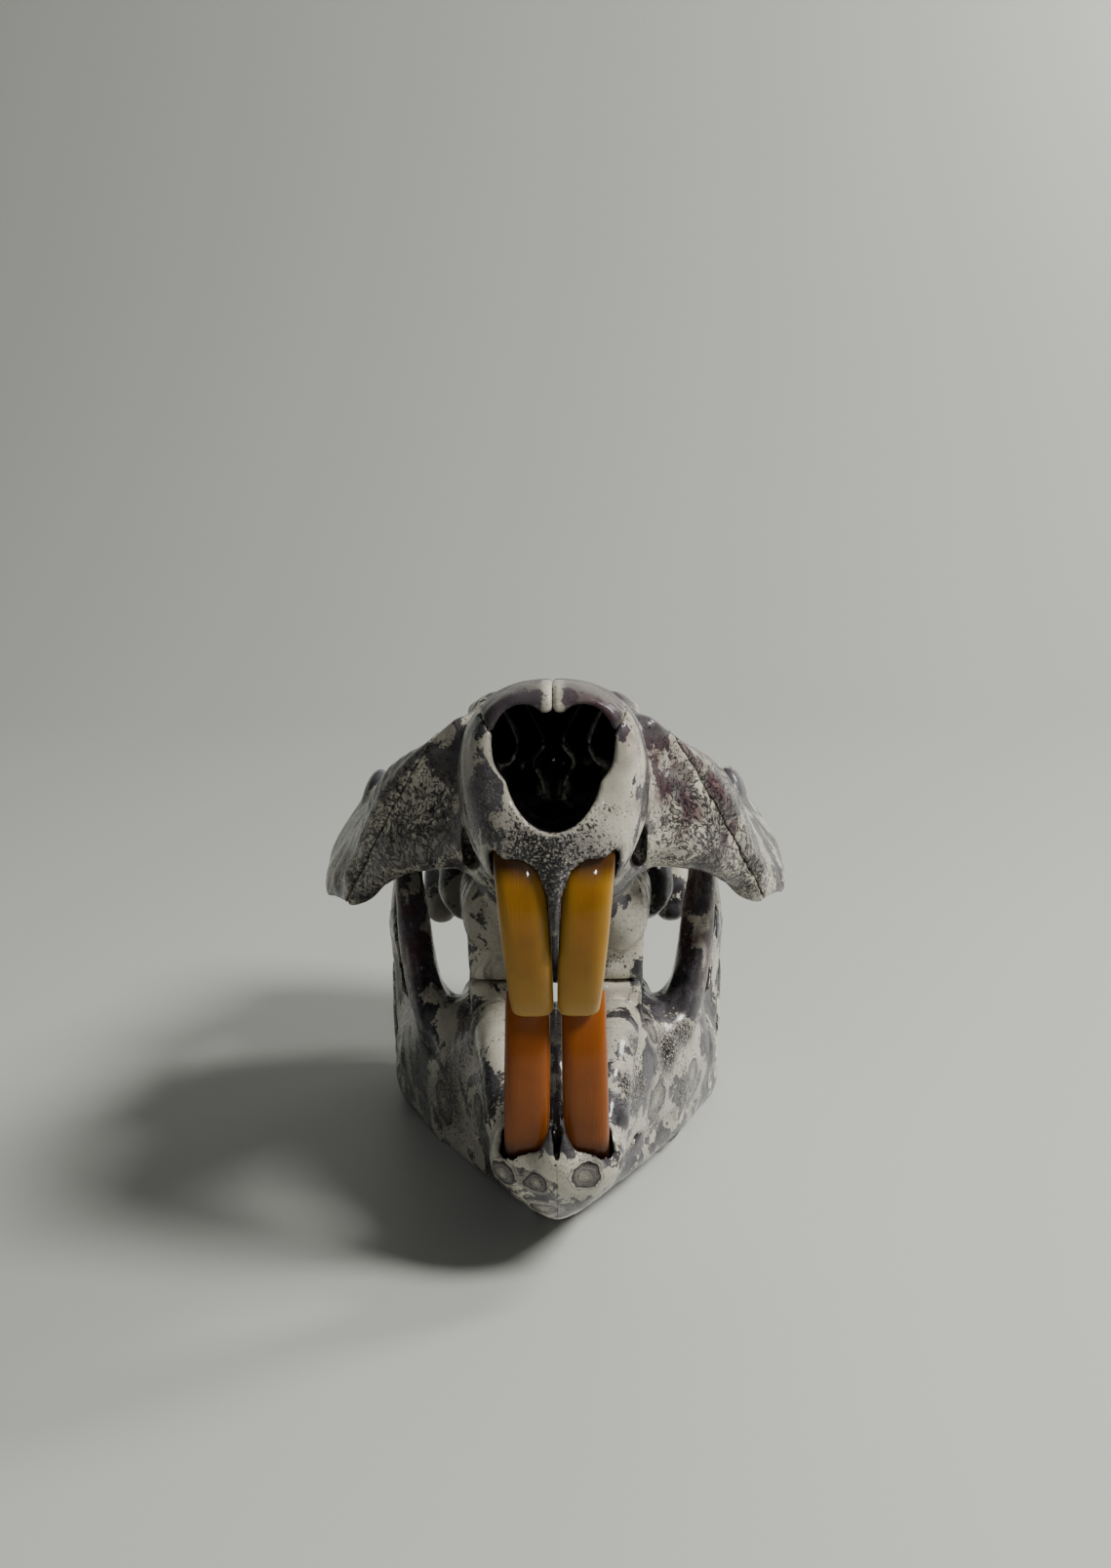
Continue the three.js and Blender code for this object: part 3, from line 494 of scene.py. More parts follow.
def shape_cheek_arch(field):
    a = ARCH_HALF_BREADTH
    field.add(limb([
        (11, 8, 81, 15.5, 8), (20, 11, 78, 12.5, 6.8), (28, 16, 74.4, 11.2, 5.6),
        (33.4, 22, 68.8, 10.2, 4.4), (36.8, 29, 64.8, 10.2, 3.2),
    ], (-0.25, 0.2, 0.95)), 4)
    field.add(limb([(17, 7, 92.6, 1.6, 1.6), (25.4, 11, 84.6, 1.7, 1.7), (32.4, 15.4, 74, 1.8, 1.8),
                    (38.6, 20.6, 61.5, 2, 2)], (0, 1, 0)), 3)
    field.add(limb([
        (36.2, 21.5, 61.6, 7.5, 3), (39.2, 33, 64, 11.4, 2.8), (a - 3.6, 47, 63, 10.4, 2.7),
        (a - 2.9, 59, 63.2, 8.6, 2.7), (a - 5.6, 71, 64.6, 5.6, 3), (33, 79, 66, 5, 4.2),
        (24, 81, 66.5, 6, 6),
    ], (-0.58, 0, 0.81)), 2.5)
    field.add(blob((a - 7.4, 57, 71.5), (2.6, 5, 4.6), (0, -28, 0)), 3)


def shape_upper_jaw(field):
    field.add(limb([(12, 13, 55.6, 7.2, 5.6), (13, 30, 53.4, 6.6, 6), (14.6, 47, 52, 6, 5.4)], (0, 0, 1)), 4)
    field.add(limb([(0, 16.5, 45.4, 4.6, 4), (9, 16.5, 46, 4, 4)], (0, 0, 1)), 1)
    add_cheek_teeth(field, 1, 54)


def shape_crests(field):
    field.add(limb([(11, 14, 95, 3, 2.6), (13.4, 27, 92.4, 3.2, 2.4), (11.4, 42, 90.4, 2.8, 2.2),
                    (6, 56, 89, 1.6, 1.4)], (1, 0, 0)), 3)
    field.add(limb([(0, 56, 90.6, 2.4, 2), (0, 80, 86, 2, 1.6), (0, 101, 79, 3, 2)], (1, 0, 0)), 3)
    field.add(limb([(0, 101.5, 78.5, 3, 3), (17, 99, 76, 3, 3), (28, 95, 63, 3.4, 3),
                    (28.5, 93, 50, 3.6, 3.6)], (0, 1, 0)), 3)


def shape_skull_base(field):
    field.add(limb([(0, 46, 49.5, 8, 4), (0, 72, 49, 8, 5), (0, 99, 48.5, 8.5, 5)], (1, 0, 0)), 3)
    field.add(blob((18.2, 81, 43.6), (8.8, 10.2, 8.6), (0, 0, 20)), 2.5)
    field.add(limb([(21, 83, 47, 4.6, 4.6), (28, 85.5, 55, 4.4, 4.4), (33, 87, 61, 4.2, 4.2)], (0, 1, 0)), 2)
    field.add(blob((29, 75, 65), (7, 8.5, 5)), 3)
    field.add(limb([(24.6, 92, 52, 5.4, 5), (26.6, 91, 43, 4.8, 4.6), (27.2, 89, 36, 3.8, 4)],
                   (0, 1, 0)), 2.5)
    field.add(limb([(6.4, 47, 46, 5, 1.8), (7.8, 58, 43.6, 5.4, 1.7), (9.6, 67, 44, 4.4, 1.8)], (0, 0, 1)), 2)
    field.add(blob((8.4, 102.6, 50.5), (4.6, 5.4, 6.4), (0, 0, -20)), 2)


def carve_openings(field):
    for form, blend in nose_openings():
        field.carve(form, blend)
    field.carve(limb([(0, -34.6, 82.5, 0.35, 0.6), (0, -36.2, 77, 0.35, 0.6), (0, -36.4, 70, 0.35, 0.6)],
                     (1, 0, 0)), 0.2)
    field.carve(limb([(14.8, -14, 73.6, 6.2, 1.7), (15, -6, 72.8, 5.6, 1.8), (15.4, 4, 71, 3.4, 1.5)],
                     (0, 0, 1)), 0.6)
    field.carve(blob((21.5, 41, 79), (8.4, 15, 14), (0, 12, 0)), 3)
    field.carve(blob((27, 61, 74), (8, 16, 15)), 4)
    field.carve(limb([(0, 27, 44, 5.4, 4.6), (0, 36, 43.6, 5.6, 4.6), (0, 52, 42, 5, 5)], (1, 0, 0)), 2)
    field.carve(blob((0, 107, 59.5), (8.2, 12, 7.4), (12, 0, 0)), 1.2)
    field.carve(blob((34.2, 87.6, 62.6), (3, 3, 3)), 0.8)
    room = JAW_JOINT["clearance"]
    field.carve(blob(JAW_JOINT["centre"], [r + room for r in JAW_JOINT["radii"]], (-6, 0, 0)), 0.6)


SHAPED = {}


def whole_cranium(sizes):
    """The upper skull before it is parted into its bones, shaped once and kept."""
    if "cranium" not in SHAPED:
        field = Field((0, -38, 26), (51, 110, 108), sizes.grain, True)
        shape_skull_run(field)
        shape_incisor_sheath(field)
        shape_cheek_arch(field)
        shape_upper_jaw(field)
        shape_crests(field)
        shape_skull_base(field)
        carve_openings(field)
        for sheet in turbinates():
            field.add(sheet, 0.3)
        field.carve(incisor_form(UPPER_INCISOR, sizes.socket), 0.3)
        field.roughen(sizes.unevenness, 11)
        SHAPED["cranium"] = field
    return SHAPED["cranium"].copy()


def shape_jaw_body(field):
    field.add(limb([
        (5.5, -22.6, 22.4, 6.2, 6.2), (5.3, -18, 15.8, 5.8, 6.2), (4.8, -10, 12.2, 4.8, 6.8),
        (5.4, 1, 11.8, 5, 9.2), (10.4, 15, 11.6, 6.6, 9.6), (17.8, 31, 11.5, 7, 9.4),
    ], (1, 0, 0)), 2)
    field.add(limb([
        (7.6, -4, 22, 10, 5.4), (12.2, 13, 20.6, 13.6, 7), (19.4, 29, 17.8, 14.4, 7.2),
        (26.6, 45, 17.2, 14.6, 5.8), (31, 60, 17.6, 17, 4),
    ], (0, 0, 1)), 4)


def shape_chin(field):
    field.add(blob((2.6, 1.5, 7.2), (3.7, 7.5, 8)), 2.5)
    field.add(blob((0, -11, 14), (4.2, 12.5, 7.8), (-40, 0, 0)), 3)
    field.add(blob((8, -13, 21), (4.4, 8, 7.4), (-30, 0, 0)), 3)
    field.add(limb([(8.8, -14.5, 27, 4, 4.6), (10.2, -5, 33.6, 4.2, 4.8), (11.6, 9, 34.6, 4.8, 5)],
                   (1, 0, 0)), 3)
    field.add(limb([(0, -19, 13, 8, 4), (0, -26.2, 20, 5.4, 3), (0, -28.8, 26, 2.8, 2.4),
                    (0, -29.4, 33, 1, 1.8)], (1, 0, 0)), 1.2)
    field.add(limb([(0, -16, 22, 6, 7), (0, -6, 28, 5, 11.4), (0, 7, 28, 4, 11.6)], (1, 0, 0)), 3)


def shape_tooth_bed(field):
    field.add(limb([(12, 13, 28, 9, 5.4), (13.4, 29, 27, 8.6, 6), (15, 47, 26, 7, 5.4)], (0, 0, 1)), 4)
    add_cheek_teeth(field, -1, 28)


def shape_rising_branch(field):
    field.add(limb([
        (24.6, 33, 25, 9, 3.4), (28.2, 40, 40, 8.6, 2.8), (30.6, 47.5, 55, 7.6, 2.4),
        (31.4, 54, 68, 5.2, 2), (31, 59, 75.5, 2.4, 1.5),
    ], (0, 1, 0.1)), 3)
    field.add(limb([
        (31.6, 58, 24, 15, 3.2), (33.8, 66, 40, 10, 2.8), (33.2, 70.5, 50, 7, 2.8), (31.2, 73, 55.6, 5, 3),
    ], (0, 1, 0.1)), 3)
    field.add(blob(JAW_JOINT["centre"], JAW_JOINT["radii"], (-6, 0, 0)), 1.5)
    field.add(blob((33, 68, 20), (3.8, 21, 19.8), (0, 8, 0)), 3)
    field.add(limb([
        (6, -1, 6.6, 4, 4), (12.4, 9, 6.2, 4, 3.8), (19, 22, 6, 3.4, 3.2), (27, 43, 5, 3, 3.2),
        (32.6, 60, 3.8, 3, 3.4), (35.4, 76, 11, 2.6, 2.6), (36.6, 82, 24, 2, 2),
    ], (1, 0, 0)), 3)
    field.add(limb([(20.4, 21, 25, 3, 3), (26.6, 33, 33, 2.6, 2.8), (29.6, 39.6, 47, 2.4, 2.6),
                    (31.2, 46, 62, 2, 2)], (0, 1, 0)), 3)


def carve_jaw(field):
    field.carve(blob((38.4, 55, 27), (6, 15, 12), (0, 8, 0)), 4)
    field.carve(blob((25, 66, 18), (5, 14, 12)), 4)
    field.carve(slope((5.6, 0, 1.9), (-1, 0.6, 1.2), (3, -36, -3), (22, 22, 24)), 1.5)
    field.carve(blob((0, -27, 31), (0.7, 6, 7.6)), 0.3)
    field.carve(blob(NERVE_HOLE, NERVE_HOLE_RADII), 0.2)


def whole_dentary(sizes):
    """The left half of the lower jaw, flat where it rests on the floor."""
    field = Field((-1.2, -36, -3), (44, 92, 80), sizes.grain, False)
    shape_jaw_body(field)
    shape_chin(field)
    shape_tooth_bed(field)
    shape_rising_branch(field)
    carve_jaw(field)
    field.carve(incisor_form(LOWER_INCISOR, sizes.socket), 0.3)
    field.roughen(sizes.unevenness, 23)
    field.cut(-field.grid()[2])
    return field


# Meshes.

def skin_of(field):
    """Points in millimetres and quads of a field's surface, facing outwards."""
    values = field.values
    low = list(field.low)
    if field.mirrored:
        values = np.concatenate([values[:0:-1], values])
        low[0] = -(len(field.axes[0]) - 1) * field.step
    grid = openvdb.FloatGrid(FAR)
    grid.copyFromArray(np.ascontiguousarray(values, dtype=np.float32))
    points, quads = grid.convertToQuads(isovalue=0.0)
    points = points.astype(float) * field.step + np.array(low)
    return largest_shell(points, quads)


def largest_shell(points, quads):
    """Keeps the biggest connected surface, and turns it to face outwards."""
    label = np.arange(len(points))
    while True:
        lowest = label[quads].min(axis=1)
        fresh = label.copy()
        for corner in range(4):
            np.minimum.at(fresh, quads[:, corner], lowest)
        fresh = fresh[fresh]
        if np.array_equal(fresh, label):
            break
        label = fresh
    names, counts = np.unique(label, return_counts=True)
    kept = label == names[counts.argmax()]
    renumber = np.cumsum(kept) - 1
    quads = renumber[quads[kept[quads[:, 0]]]]
    points = points[kept]
    a, b, c, d = (points[quads[:, i]] for i in range(4))
    volume = np.einsum("ij,ij->", a, np.cross(b, c)) + np.einsum("ij,ij->", a, np.cross(c, d))
    return points, quads if volume > 0 else quads[:, ::-1]


def placed(points):
    """Millimetres counted from the chin, to metres in the frame."""
    return np.clip((points - np.array([0, FOOTPRINT_MIDDLE_Y, 0])) * MM, *CAD_BOX)


def mesh_from(name, points, quads, masks):
    mesh = bpy.data.meshes.new(name)
    mesh.vertices.add(len(points))
    mesh.vertices.foreach_set("co", placed(points).astype(np.float32).ravel())
    mesh.loops.add(quads.size)
    mesh.loops.foreach_set("vertex_index", quads.astype(np.int32).ravel())
    mesh.polygons.add(len(quads))
    mesh.polygons.foreach_set("loop_start", np.arange(0, quads.size, quads.shape[1], dtype=np.int32))
    mesh.update(calc_edges=True)
    mesh.validate()
    mesh.shade_smooth()
    for mask, values in masks.items():
        layer = mesh.attributes.new(mask, "FLOAT", "POINT")
        layer.data.foreach_set("value", np.asarray(values, dtype=np.float32))
    return mesh


def add_piece(name, mesh, material, slot, *nodes):
    piece = bpy.data.objects.new(name, mesh)
    bpy.context.scene.collection.objects.link(piece)
    mesh.materials.append(material)
    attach(piece, "root")
    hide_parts(*nodes)
    return piece


def mirrored(points):
    return points * np.array([-1, 1, 1])


# Markings: where on the bone each kind of mark is strong. A patch is (x, y, z, radius, weight).

def patches(points, places, most=1):
    """The weights of the patches that reach each point, fading from each patch's middle."""
    total = np.zeros(len(points))
    for x, y, z, radius, weight in places:
        away = np.linalg.norm(points - np.array([x, y, z]), axis=1) / radius
        total += weight * np.exp(-away ** 2)
    return np.clip(total, 0, most)


def both_sides(*places):
    """Each patch on the left, and its mirror image on the right."""
    return [(way * x, *rest) for x, *rest in places for way in (1, -1)]


SPECKLED = [
    *both_sides((6, -34, 79, 6, 1)), (0, -35, 80, 5, 1), (0, -36, 72, 5, 1), (-9, -30, 86, 6, 0.5),
    (13.9, -3.8, 34.5, 3, 2.4), (12.6, -13, 30.5, 3, 2.4), (15.5, 2.4, 24, 4, 2.4), (22, 17.5, 25, 4, 2.2),
    (25.3, 23.6, 27.5, 3.5, 1.8), (25.5, 25.5, 14.2, 4, 1.6), (-12, -12, 31, 3, 1.5),
    (-28.5, 33.1, 16, 5, 1.5), (-18, 12, 29, 5.5, 2), (-20, 16, 18, 6, 1.6), (36, 20, 66, 8, 0.5),
    (-36, 20, 66, 8, 0.4),
]
WORMED = [*both_sides((26, 10, 74, 12, 1), (36, 20, 62, 9, 0.9)), (-30, 36, 14, 8, 0.4)]
# The patch at (13.2, 13, 40) paints dark streaks that stand for the shade in the grooves in front of the
# cheek teeth.
STREAKED = both_sides(
    (17, -18, 86, 10, 1), (18, -8, 78, 9, 0.8), (13.2, 13, 40, 6, 1), (34, 46, 46, 14, 0.6),
    (24, 30, 35, 6, 0.8))
PALE = [
    *both_sides((10, -6, 36, 8, 1.2), (14, 14, 50, 9, 1), (12, 10, 43, 6, 1)),
    (11.5, -31, 86, 6, 1.5), (10.6, -31, 90, 4, 1), (13, -28, 89, 5, 1), (0, -27, 20, 6, 0.8),
    (20, 8, 68, 6, 0.7), (-22, 12, 24, 10, 0.3), (0, -34, 83, 2.6, 0.8), (22, 18, 25, 6, 0.6),
]
STAINED = [
    (14, -20, 96, 10, 1), (24, 10, 84, 10, 1.5), (30, 12, 76, 7, 1.3), (-20, 12, 86, 9, 0.5),
    (9, -30, 101, 5, 0.9), (0, 60, 90, 20, 0.5), (19.4, 12.3, 14, 3, 0.6),
    *both_sides((30.5, 37.5, 56, 4.5, 2), (31, 37, 50, 4.5, 2), (31, 36, 44, 4.5, 2),
                (30.5, 35.5, 38, 4.5, 2)),
]
# Purple-grey patches. The first two darken the right side of the snout. The rest are painted shade: on the
# face beside the upper jaw, shaded by the cheek arches, and on the right jaw branch, in the skull's shadow.
VEILED_AND_SHADED = [
    (-13.8, -27, 90, 8, 0.7), (-16, -14, 90, 9, 0.5), (15.8, 9.4, 57.8, 7, 0.45), (-15.5, 8.6, 54.5, 7, 0.5),
    (-32, 38, 50, 9, 0.7), (-32, 37, 38, 8, 0.7),
]
# A ringed spot is (x, y, z, radius).
SPOTS = [
    (18.5, 14.5, 31.4, 2.4), (19.4, 12.3, 17.8, 4.0), (28, 31.6, 15.6, 3.2), (-19.1, 14.5, 30.1, 2.8),
    (-22.6, 19.7, 14.9, 3.8), (-14.8, 0.1, 21, 3), (-3.5, -28.9, 20.1, 1.9), (5.1, -28.7, 20.8, 2.4),
    (-9.4, -27.1, 20.8, 2.3), (-2.4, -24.4, 13.1, 2.3), (31, 52, 24, 4.4), (-31, 50, 26, 4.2),
]


def nose_openings():
    """The forms that hollow out the nose."""
    return (
        (blob((4.9, -20, 95.0), (5.4, 34, 6.8), (-6, 0, 0)), 0.8),
        (blob((0, -22, 90), (7.6, 30, 9.6), (-6, 0, 0)), 0.8),
        (limb([(0, -36, 94.2, 3.4, 7.6), (0, -22, 93.6, 3.4, 7.6)], (1, 0, 0), 1), 0.8),
    )


def turbinates():
    """Thin scrolls of bone in the nose: sheets that run back from their front edges."""
    half_sheet = 0.5
    outer = ((8.4, 100.5), (6.6, 97.0), (6.0, 94.0), (7.4, 91.0), (9.8, 90.4))
    inner = ((5.5, 99.5), (2.6, 94.0), (1.7, 91.0), (3.6, 88.0), (2.2, 84.5), (1.6, 80.0))
    branch = ((3.6, 88.0), (5.4, 87.4), (8.0, 87.0))
    return [limb([(x, y, z, reach, half_sheet) for x, z in line], (0, 1, 0))
            for line, y, reach in ((outer, -17.0, 4.0), (inner, 0.0, 3.0), (branch, 0.5, 2.5))]


def spot_rings(points):
    """How many radii away the nearest ringed spot is, up to 3."""
    away = np.full(len(points), 3.0)
    for x, y, z, radius in SPOTS:
        away = np.minimum(away, np.linalg.norm(points - np.array([x, y, z]), axis=1) / radius)
    return away


def nearest(forms, x, y, z):
    return np.min([form.distance(x, y, z) for form in forms], axis=0)


def pale_lines(x, y, z, on_left, from_nose, from_nasal):
    """The rim of the nose, painted pale as a highlight along its edge; the middle of the nasals; and the
    seams of the nasals and cheeks.
    """
    # Painted highlight: a pale line along the rim of the nose, where its edge catches the light.
    nose_rim = np.exp(-((from_nose - 0.3) / 0.35) ** 2) * (y < -27) * (z < 98)
    nasal_edge = np.exp(-(x / 1.7) ** 4) * (z > 99) * (y < -16)
    nasal_seam = np.exp(-(from_nasal / 0.45) ** 2) * (y < -20)
    cheek_seam = np.exp(-((cheek_zone()(x, y, z) - 0.7) / 1.1) ** 2) * (y < 40)
    cheek_seam = cheek_seam * np.where(on_left, 0.75, 0.35)
    return np.max([nose_rim, nasal_edge, 0.6 * nasal_seam, cheek_seam], axis=0)


def nose_shade(points, x, y, z, from_nose):
    """Dark inside the nose, but for the edges of its scrolls and one lit wall."""
    in_nose = (from_nose < 0.4) & (z > 78)
    scroll = np.exp(-(np.maximum(nearest(turbinates(), x, y, z), 0) / 0.5) ** 2)
    lit_wall = patches(points, [(-5.5, -17, 83, 6, 0.6)])
    return np.clip((y + 33) / 4, 0, 1) * in_nose * (1 - np.maximum(0.75 * scroll, lit_wall))


def hollow_shade(points, x, y, z, from_nose):
    """Painted shade in the nose, behind the incisors, round their sockets and in the nerve holes, and the
    dark front seam.
    """
    sockets = [incisor_form(size, 0) for size in (UPPER_INCISOR, LOWER_INCISOR)]
    from_tooth = np.maximum(nearest(sockets, x, y, z), 0)
    between_teeth = (x < 3.2) & (z > 22) & (z < 42) & (y > -27) & (y < 16)
    from_nerve = np.linalg.norm(np.stack([x, y, z], axis=1) - np.array(NERVE_HOLE), axis=1)
    return np.max([
        nose_shade(points, x, y, z, from_nose),
        np.clip((y + 27) / 3, 0, 1) * between_teeth * 0.93,
        np.exp(-(from_tooth / 0.8) ** 4) * 0.97,
        np.exp(-(from_nerve / 1.5) ** 6),
        np.exp(-(x / 0.5) ** 2) * (z > 60) * (z < 82) * (y < -27) * 0.85,
    ], axis=0)


def bone_masks(points):
    """How strong each kind of mark is at each point."""
    x, y, z = np.abs(points[:, 0]), points[:, 1], points[:, 2]
    from_nose = nearest([form for form, _ in nose_openings()], x, y, z)
    from_nasal = nasal_zone()(x, y, z)
    lines = pale_lines(x, y, z, points[:, 0] > 0, from_nose, from_nasal)
    nasal_veil = np.clip(-from_nasal / 1.2, 0, 1)
    return {
        "pale": np.maximum(patches(points, PALE), 1.8 * lines),
        "speckle": patches(points, SPECKLED, 2) * (1 - lines),
        "worm": patches(points, WORMED),
        "streak": patches(points, STREAKED),
        "spot": spot_rings(points),
        "stain": patches(points, STAINED) * (1 - lines),
        # Purple-grey: the nasals' own colour, and painted shade on the face beside the upper jaw and on the
        # right jaw branch.
        "veil_and_shade": np.maximum(nasal_veil, patches(points, VEILED_AND_SHADED)) * (1 - lines),
        # Painted shade in the nose, behind and round the incisors and in the nerve holes, with the dark front
        # seam.
        "hollow": hollow_shade(points, x, y, z, from_nose),
    }


# Shader helpers.

class Tree:
    """A node tree with short calls for adding and joining nodes."""

    def __init__(self, tree):
        self.tree = tree

    def node(self, kind, **settings):
        made = self.tree.nodes.new(kind)
        for name, value in settings.items():
            setattr(made, name, value)
        return made

    def feed(self, socket, value):
        if isinstance(value, bpy.types.NodeSocket):
            self.tree.links.new(value, socket)
        else:
            socket.default_value = value

    def feed_all(self, node, values):
        for socket, value in values.items():
            self.feed(node.inputs[socket], value)

    def math(self, operation, a, b=0.0):
        made = self.node("ShaderNodeMath", operation=operation)
        self.feed_all(made, {0: a, 1: b})
        return made.outputs[0]

    def plus(self, a, b):
        return self.math("ADD", a, b)

    def minus(self, a, b):
        return self.math("SUBTRACT", a, b)

    def times(self, a, b):
        return self.math("MULTIPLY", a, b)

    def band(self, value, low, high):
        """0 below low, 1 above high, smooth between."""
        made = self.node("ShaderNodeMapRange", interpolation_type="SMOOTHSTEP")
        self.feed_all(made, {"Value": value, "From Min": low, "From Max": high})
        return made.outputs["Result"]

    def mix(self, factor, a, b):
        """A colour mix; the node's colour sockets come after its number and vector ones."""
        made = self.node("ShaderNodeMix", data_type="RGBA")
        self.feed_all(made, {0: factor, 6: a, 7: b})
        return made.outputs[2]

    def noise_node(self, vector, scale, detail, roughness=0.5):
        made = self.node("ShaderNodeTexNoise")
        self.feed_all(made, {"Vector": vector, "Scale": scale, "Detail": detail, "Roughness": roughness})
        return made

    def noise(self, vector, scale, detail, roughness=0.5):
        return self.noise_node(vector, scale, detail, roughness).outputs["Fac"]

    def warped(self, vector, scale, reach):
        """The vector pushed about by noise."""
        made = self.node("ShaderNodeVectorMath", operation="MULTIPLY_ADD")
        noise = self.noise_node(vector, scale, 2).outputs["Color"]
        self.feed_all(made, {0: noise, 1: (reach, reach, reach), 2: vector})
        return made.outputs[0]

    def line(self, value, centre, half_width, strength):
        """A soft line where the value is near the centre."""
        away = self.math("ABSOLUTE", self.minus(value, centre))
        on = self.minus(1.0, self.band(away, half_width * 0.4, half_width))
        return self.times(on, strength)

    def attribute(self, name):
        return self.node("ShaderNodeAttribute", attribute_name=name).outputs["Fac"]


def new_group(name, inputs, outputs):
    group = bpy.data.node_groups.new(name, "ShaderNodeTree")
    for socket, kind in inputs:
        group.interface.new_socket(socket, in_out="INPUT", socket_type=kind)
    for socket, kind in outputs:
        group.interface.new_socket(socket, in_out="OUTPUT", socket_type=kind)
    tree = Tree(group)
    return group, tree, tree.node("NodeGroupInput").outputs, tree.node("NodeGroupOutput").inputs


COLOUR, NUMBER, VECTOR = "NodeSocketColor", "NodeSocketFloat", "NodeSocketVector"
SKULL_CREAM_SHARE = 0.275
JAW_CREAM_SHARE = 0.285
AMBER_SHADES = {
    "deep": (0.2, 0.078, 0.004), "tip": (0.38, 0.24, 0.06), "root": (0.05, 0.018, 0.004), "root_start": 0.80,
}
RUST_SHADES = {
    "deep": (0.185, 0.052, 0.009), "tip": (0.24, 0.07, 0.012), "root": (0.012, 0.005, 0.004),
    "root_start": 0.68,
}
DENTINE = (0.42, 0.33, 0.2, 1)
BONE_MASKS = ("Pale", "Speckle", "Worm", "Streak", "Spot", "Stain", "Veil_And_Shade", "Hollow")
BONE_COLOURS = ("Cream", "Grey", "Dark", "Maroon", "Plum")


def marbled_ground(tree, given, place, flowing, finer):
    """Cream with grey patches whose edges break up into stipple, and mixed tones under worm and speckle."""
    level = tree.times(tree.minus(tree.noise(flowing, 115, 4, 0.55), 0.38), 1.5)
    level = tree.plus(level, given["Cream Share"])
    level = tree.plus(level, tree.times(given["Pale"], 0.16))
    stipple = tree.minus(tree.noise(place, 1050, 3, 0.65), 0.5)
    stippled = tree.plus(level, tree.times(stipple, 0.42))
    grey = tree.mix(tree.band(tree.noise(finer, 240, 4), 0.36, 0.66), given["Grey"], given["Dark"])
    grey = tree.mix(0.2, grey, given["Grey"])
    colour = tree.mix(tree.band(stippled, 0.480, 0.500), grey, given["Cream"])
    colour = tree.mix(tree.line(level, 0.478, 0.010, 0.6), colour, given["Dark"])
    shade = tree.times(tree.band(tree.noise(flowing, 60, 2), 0.45, 0.65), 0.3)
    colour = tree.mix(shade, colour, given["Grey"])
    middling = tree.mix(tree.band(tree.noise(finer, 300, 3), 0.3, 0.7), given["Cream"], given["Grey"])
    colour = tree.mix(tree.times(given["Worm"], 0.6), colour, middling)
    return tree.mix(tree.times(given["Speckle"], 0.45), colour, given["Grey"])


def veil_and_stain(tree, given, flowing, colour):
    """A smooth purple-grey cover, which also paints shade on the face and the right jaw branch, then a broken
    purple-brown stain.
    """
    strength = 0.85
    veil_and_shade = tree.times(given["Veil_And_Shade"], tree.band(tree.noise(flowing, 45, 2), 0.1, 0.4))
    colour = tree.mix(tree.times(veil_and_shade, strength), colour, given["Plum"])
    stain = tree.times(given["Stain"], tree.band(tree.noise(flowing, 150, 4), 0.38, 0.60))
    return tree.mix(tree.times(stain, strength), colour, given["Maroon"])


def ringed_spots(tree, given, place, colour):
    """Spots with a pale heart, faint folds, a dark outline and a thin grey ring outside it."""
    wobble = tree.minus(tree.times(tree.noise(place, 330, 3), 1.1), 0.55)
    away = tree.plus(given["Spot"], wobble)
    inside = tree.minus(1.0, tree.band(away, 0.93, 1.0))
    halo = tree.minus(1.0, tree.band(away, 1.35, 1.75))
    colour = tree.mix(tree.times(halo, 0.45), colour, given["Cream"])
    heart = tree.mix(tree.band(away, -0.5, 0.8), given["Cream"], given["Plum"])
    colour = tree.mix(tree.times(inside, 0.85), colour, heart)
    folds = tree.band(tree.math("SINE", tree.times(away, 19.0)), 0.6, 0.95)
    colour = tree.mix(tree.times(tree.times(inside, folds), 0.25), colour, given["Cream"])
    colour = tree.mix(tree.line(away, 1.04, 0.14, 0.95), colour, given["Dark"])
    return tree.mix(tree.line(away, 1.32, 0.07, 0.6), colour, given["Grey"])


def worm_lines(tree, given, finer, clumps):
    """Fine winding lines, wide in the worm areas and thin in the clumps."""
    width = tree.plus(tree.times(given["Worm"], 0.08), tree.times(clumps, 0.006))
    off_middle = tree.math("ABSOLUTE", tree.minus(tree.noise(finer, 800, 2.5, 0.55), 0.5))
    widths_away = tree.math("DIVIDE", off_middle, tree.plus(width, 0.002))
    return tree.times(tree.minus(1.0, tree.band(widths_away, 0.5, 1.1)), 0.88)


def dark_streaks(tree, given, flowing):
    """Streaks drawn out along the bone's height."""
    drawn = tree.node("ShaderNodeVectorMath", operation="MULTIPLY")
    tree.feed(drawn.inputs[0], flowing)
    drawn.inputs[1].default_value = (1, 0.6, 0.14)
    streak = tree.band(tree.noise(drawn.outputs[0], 620, 4, 0.6), 0.50, 0.64)
    return tree.times(tree.times(streak, given["Streak"]), 0.85)


def black_dots(tree, given, place, clumps):
    """Dots that crowd in the speckled areas and the clumps."""
    crowd = tree.plus(tree.times(given["Speckle"], 0.12), tree.times(clumps, 0.07))
    return tree.band(tree.plus(tree.noise(place, 1900, 3, 0.7), crowd), 0.655, 0.70)


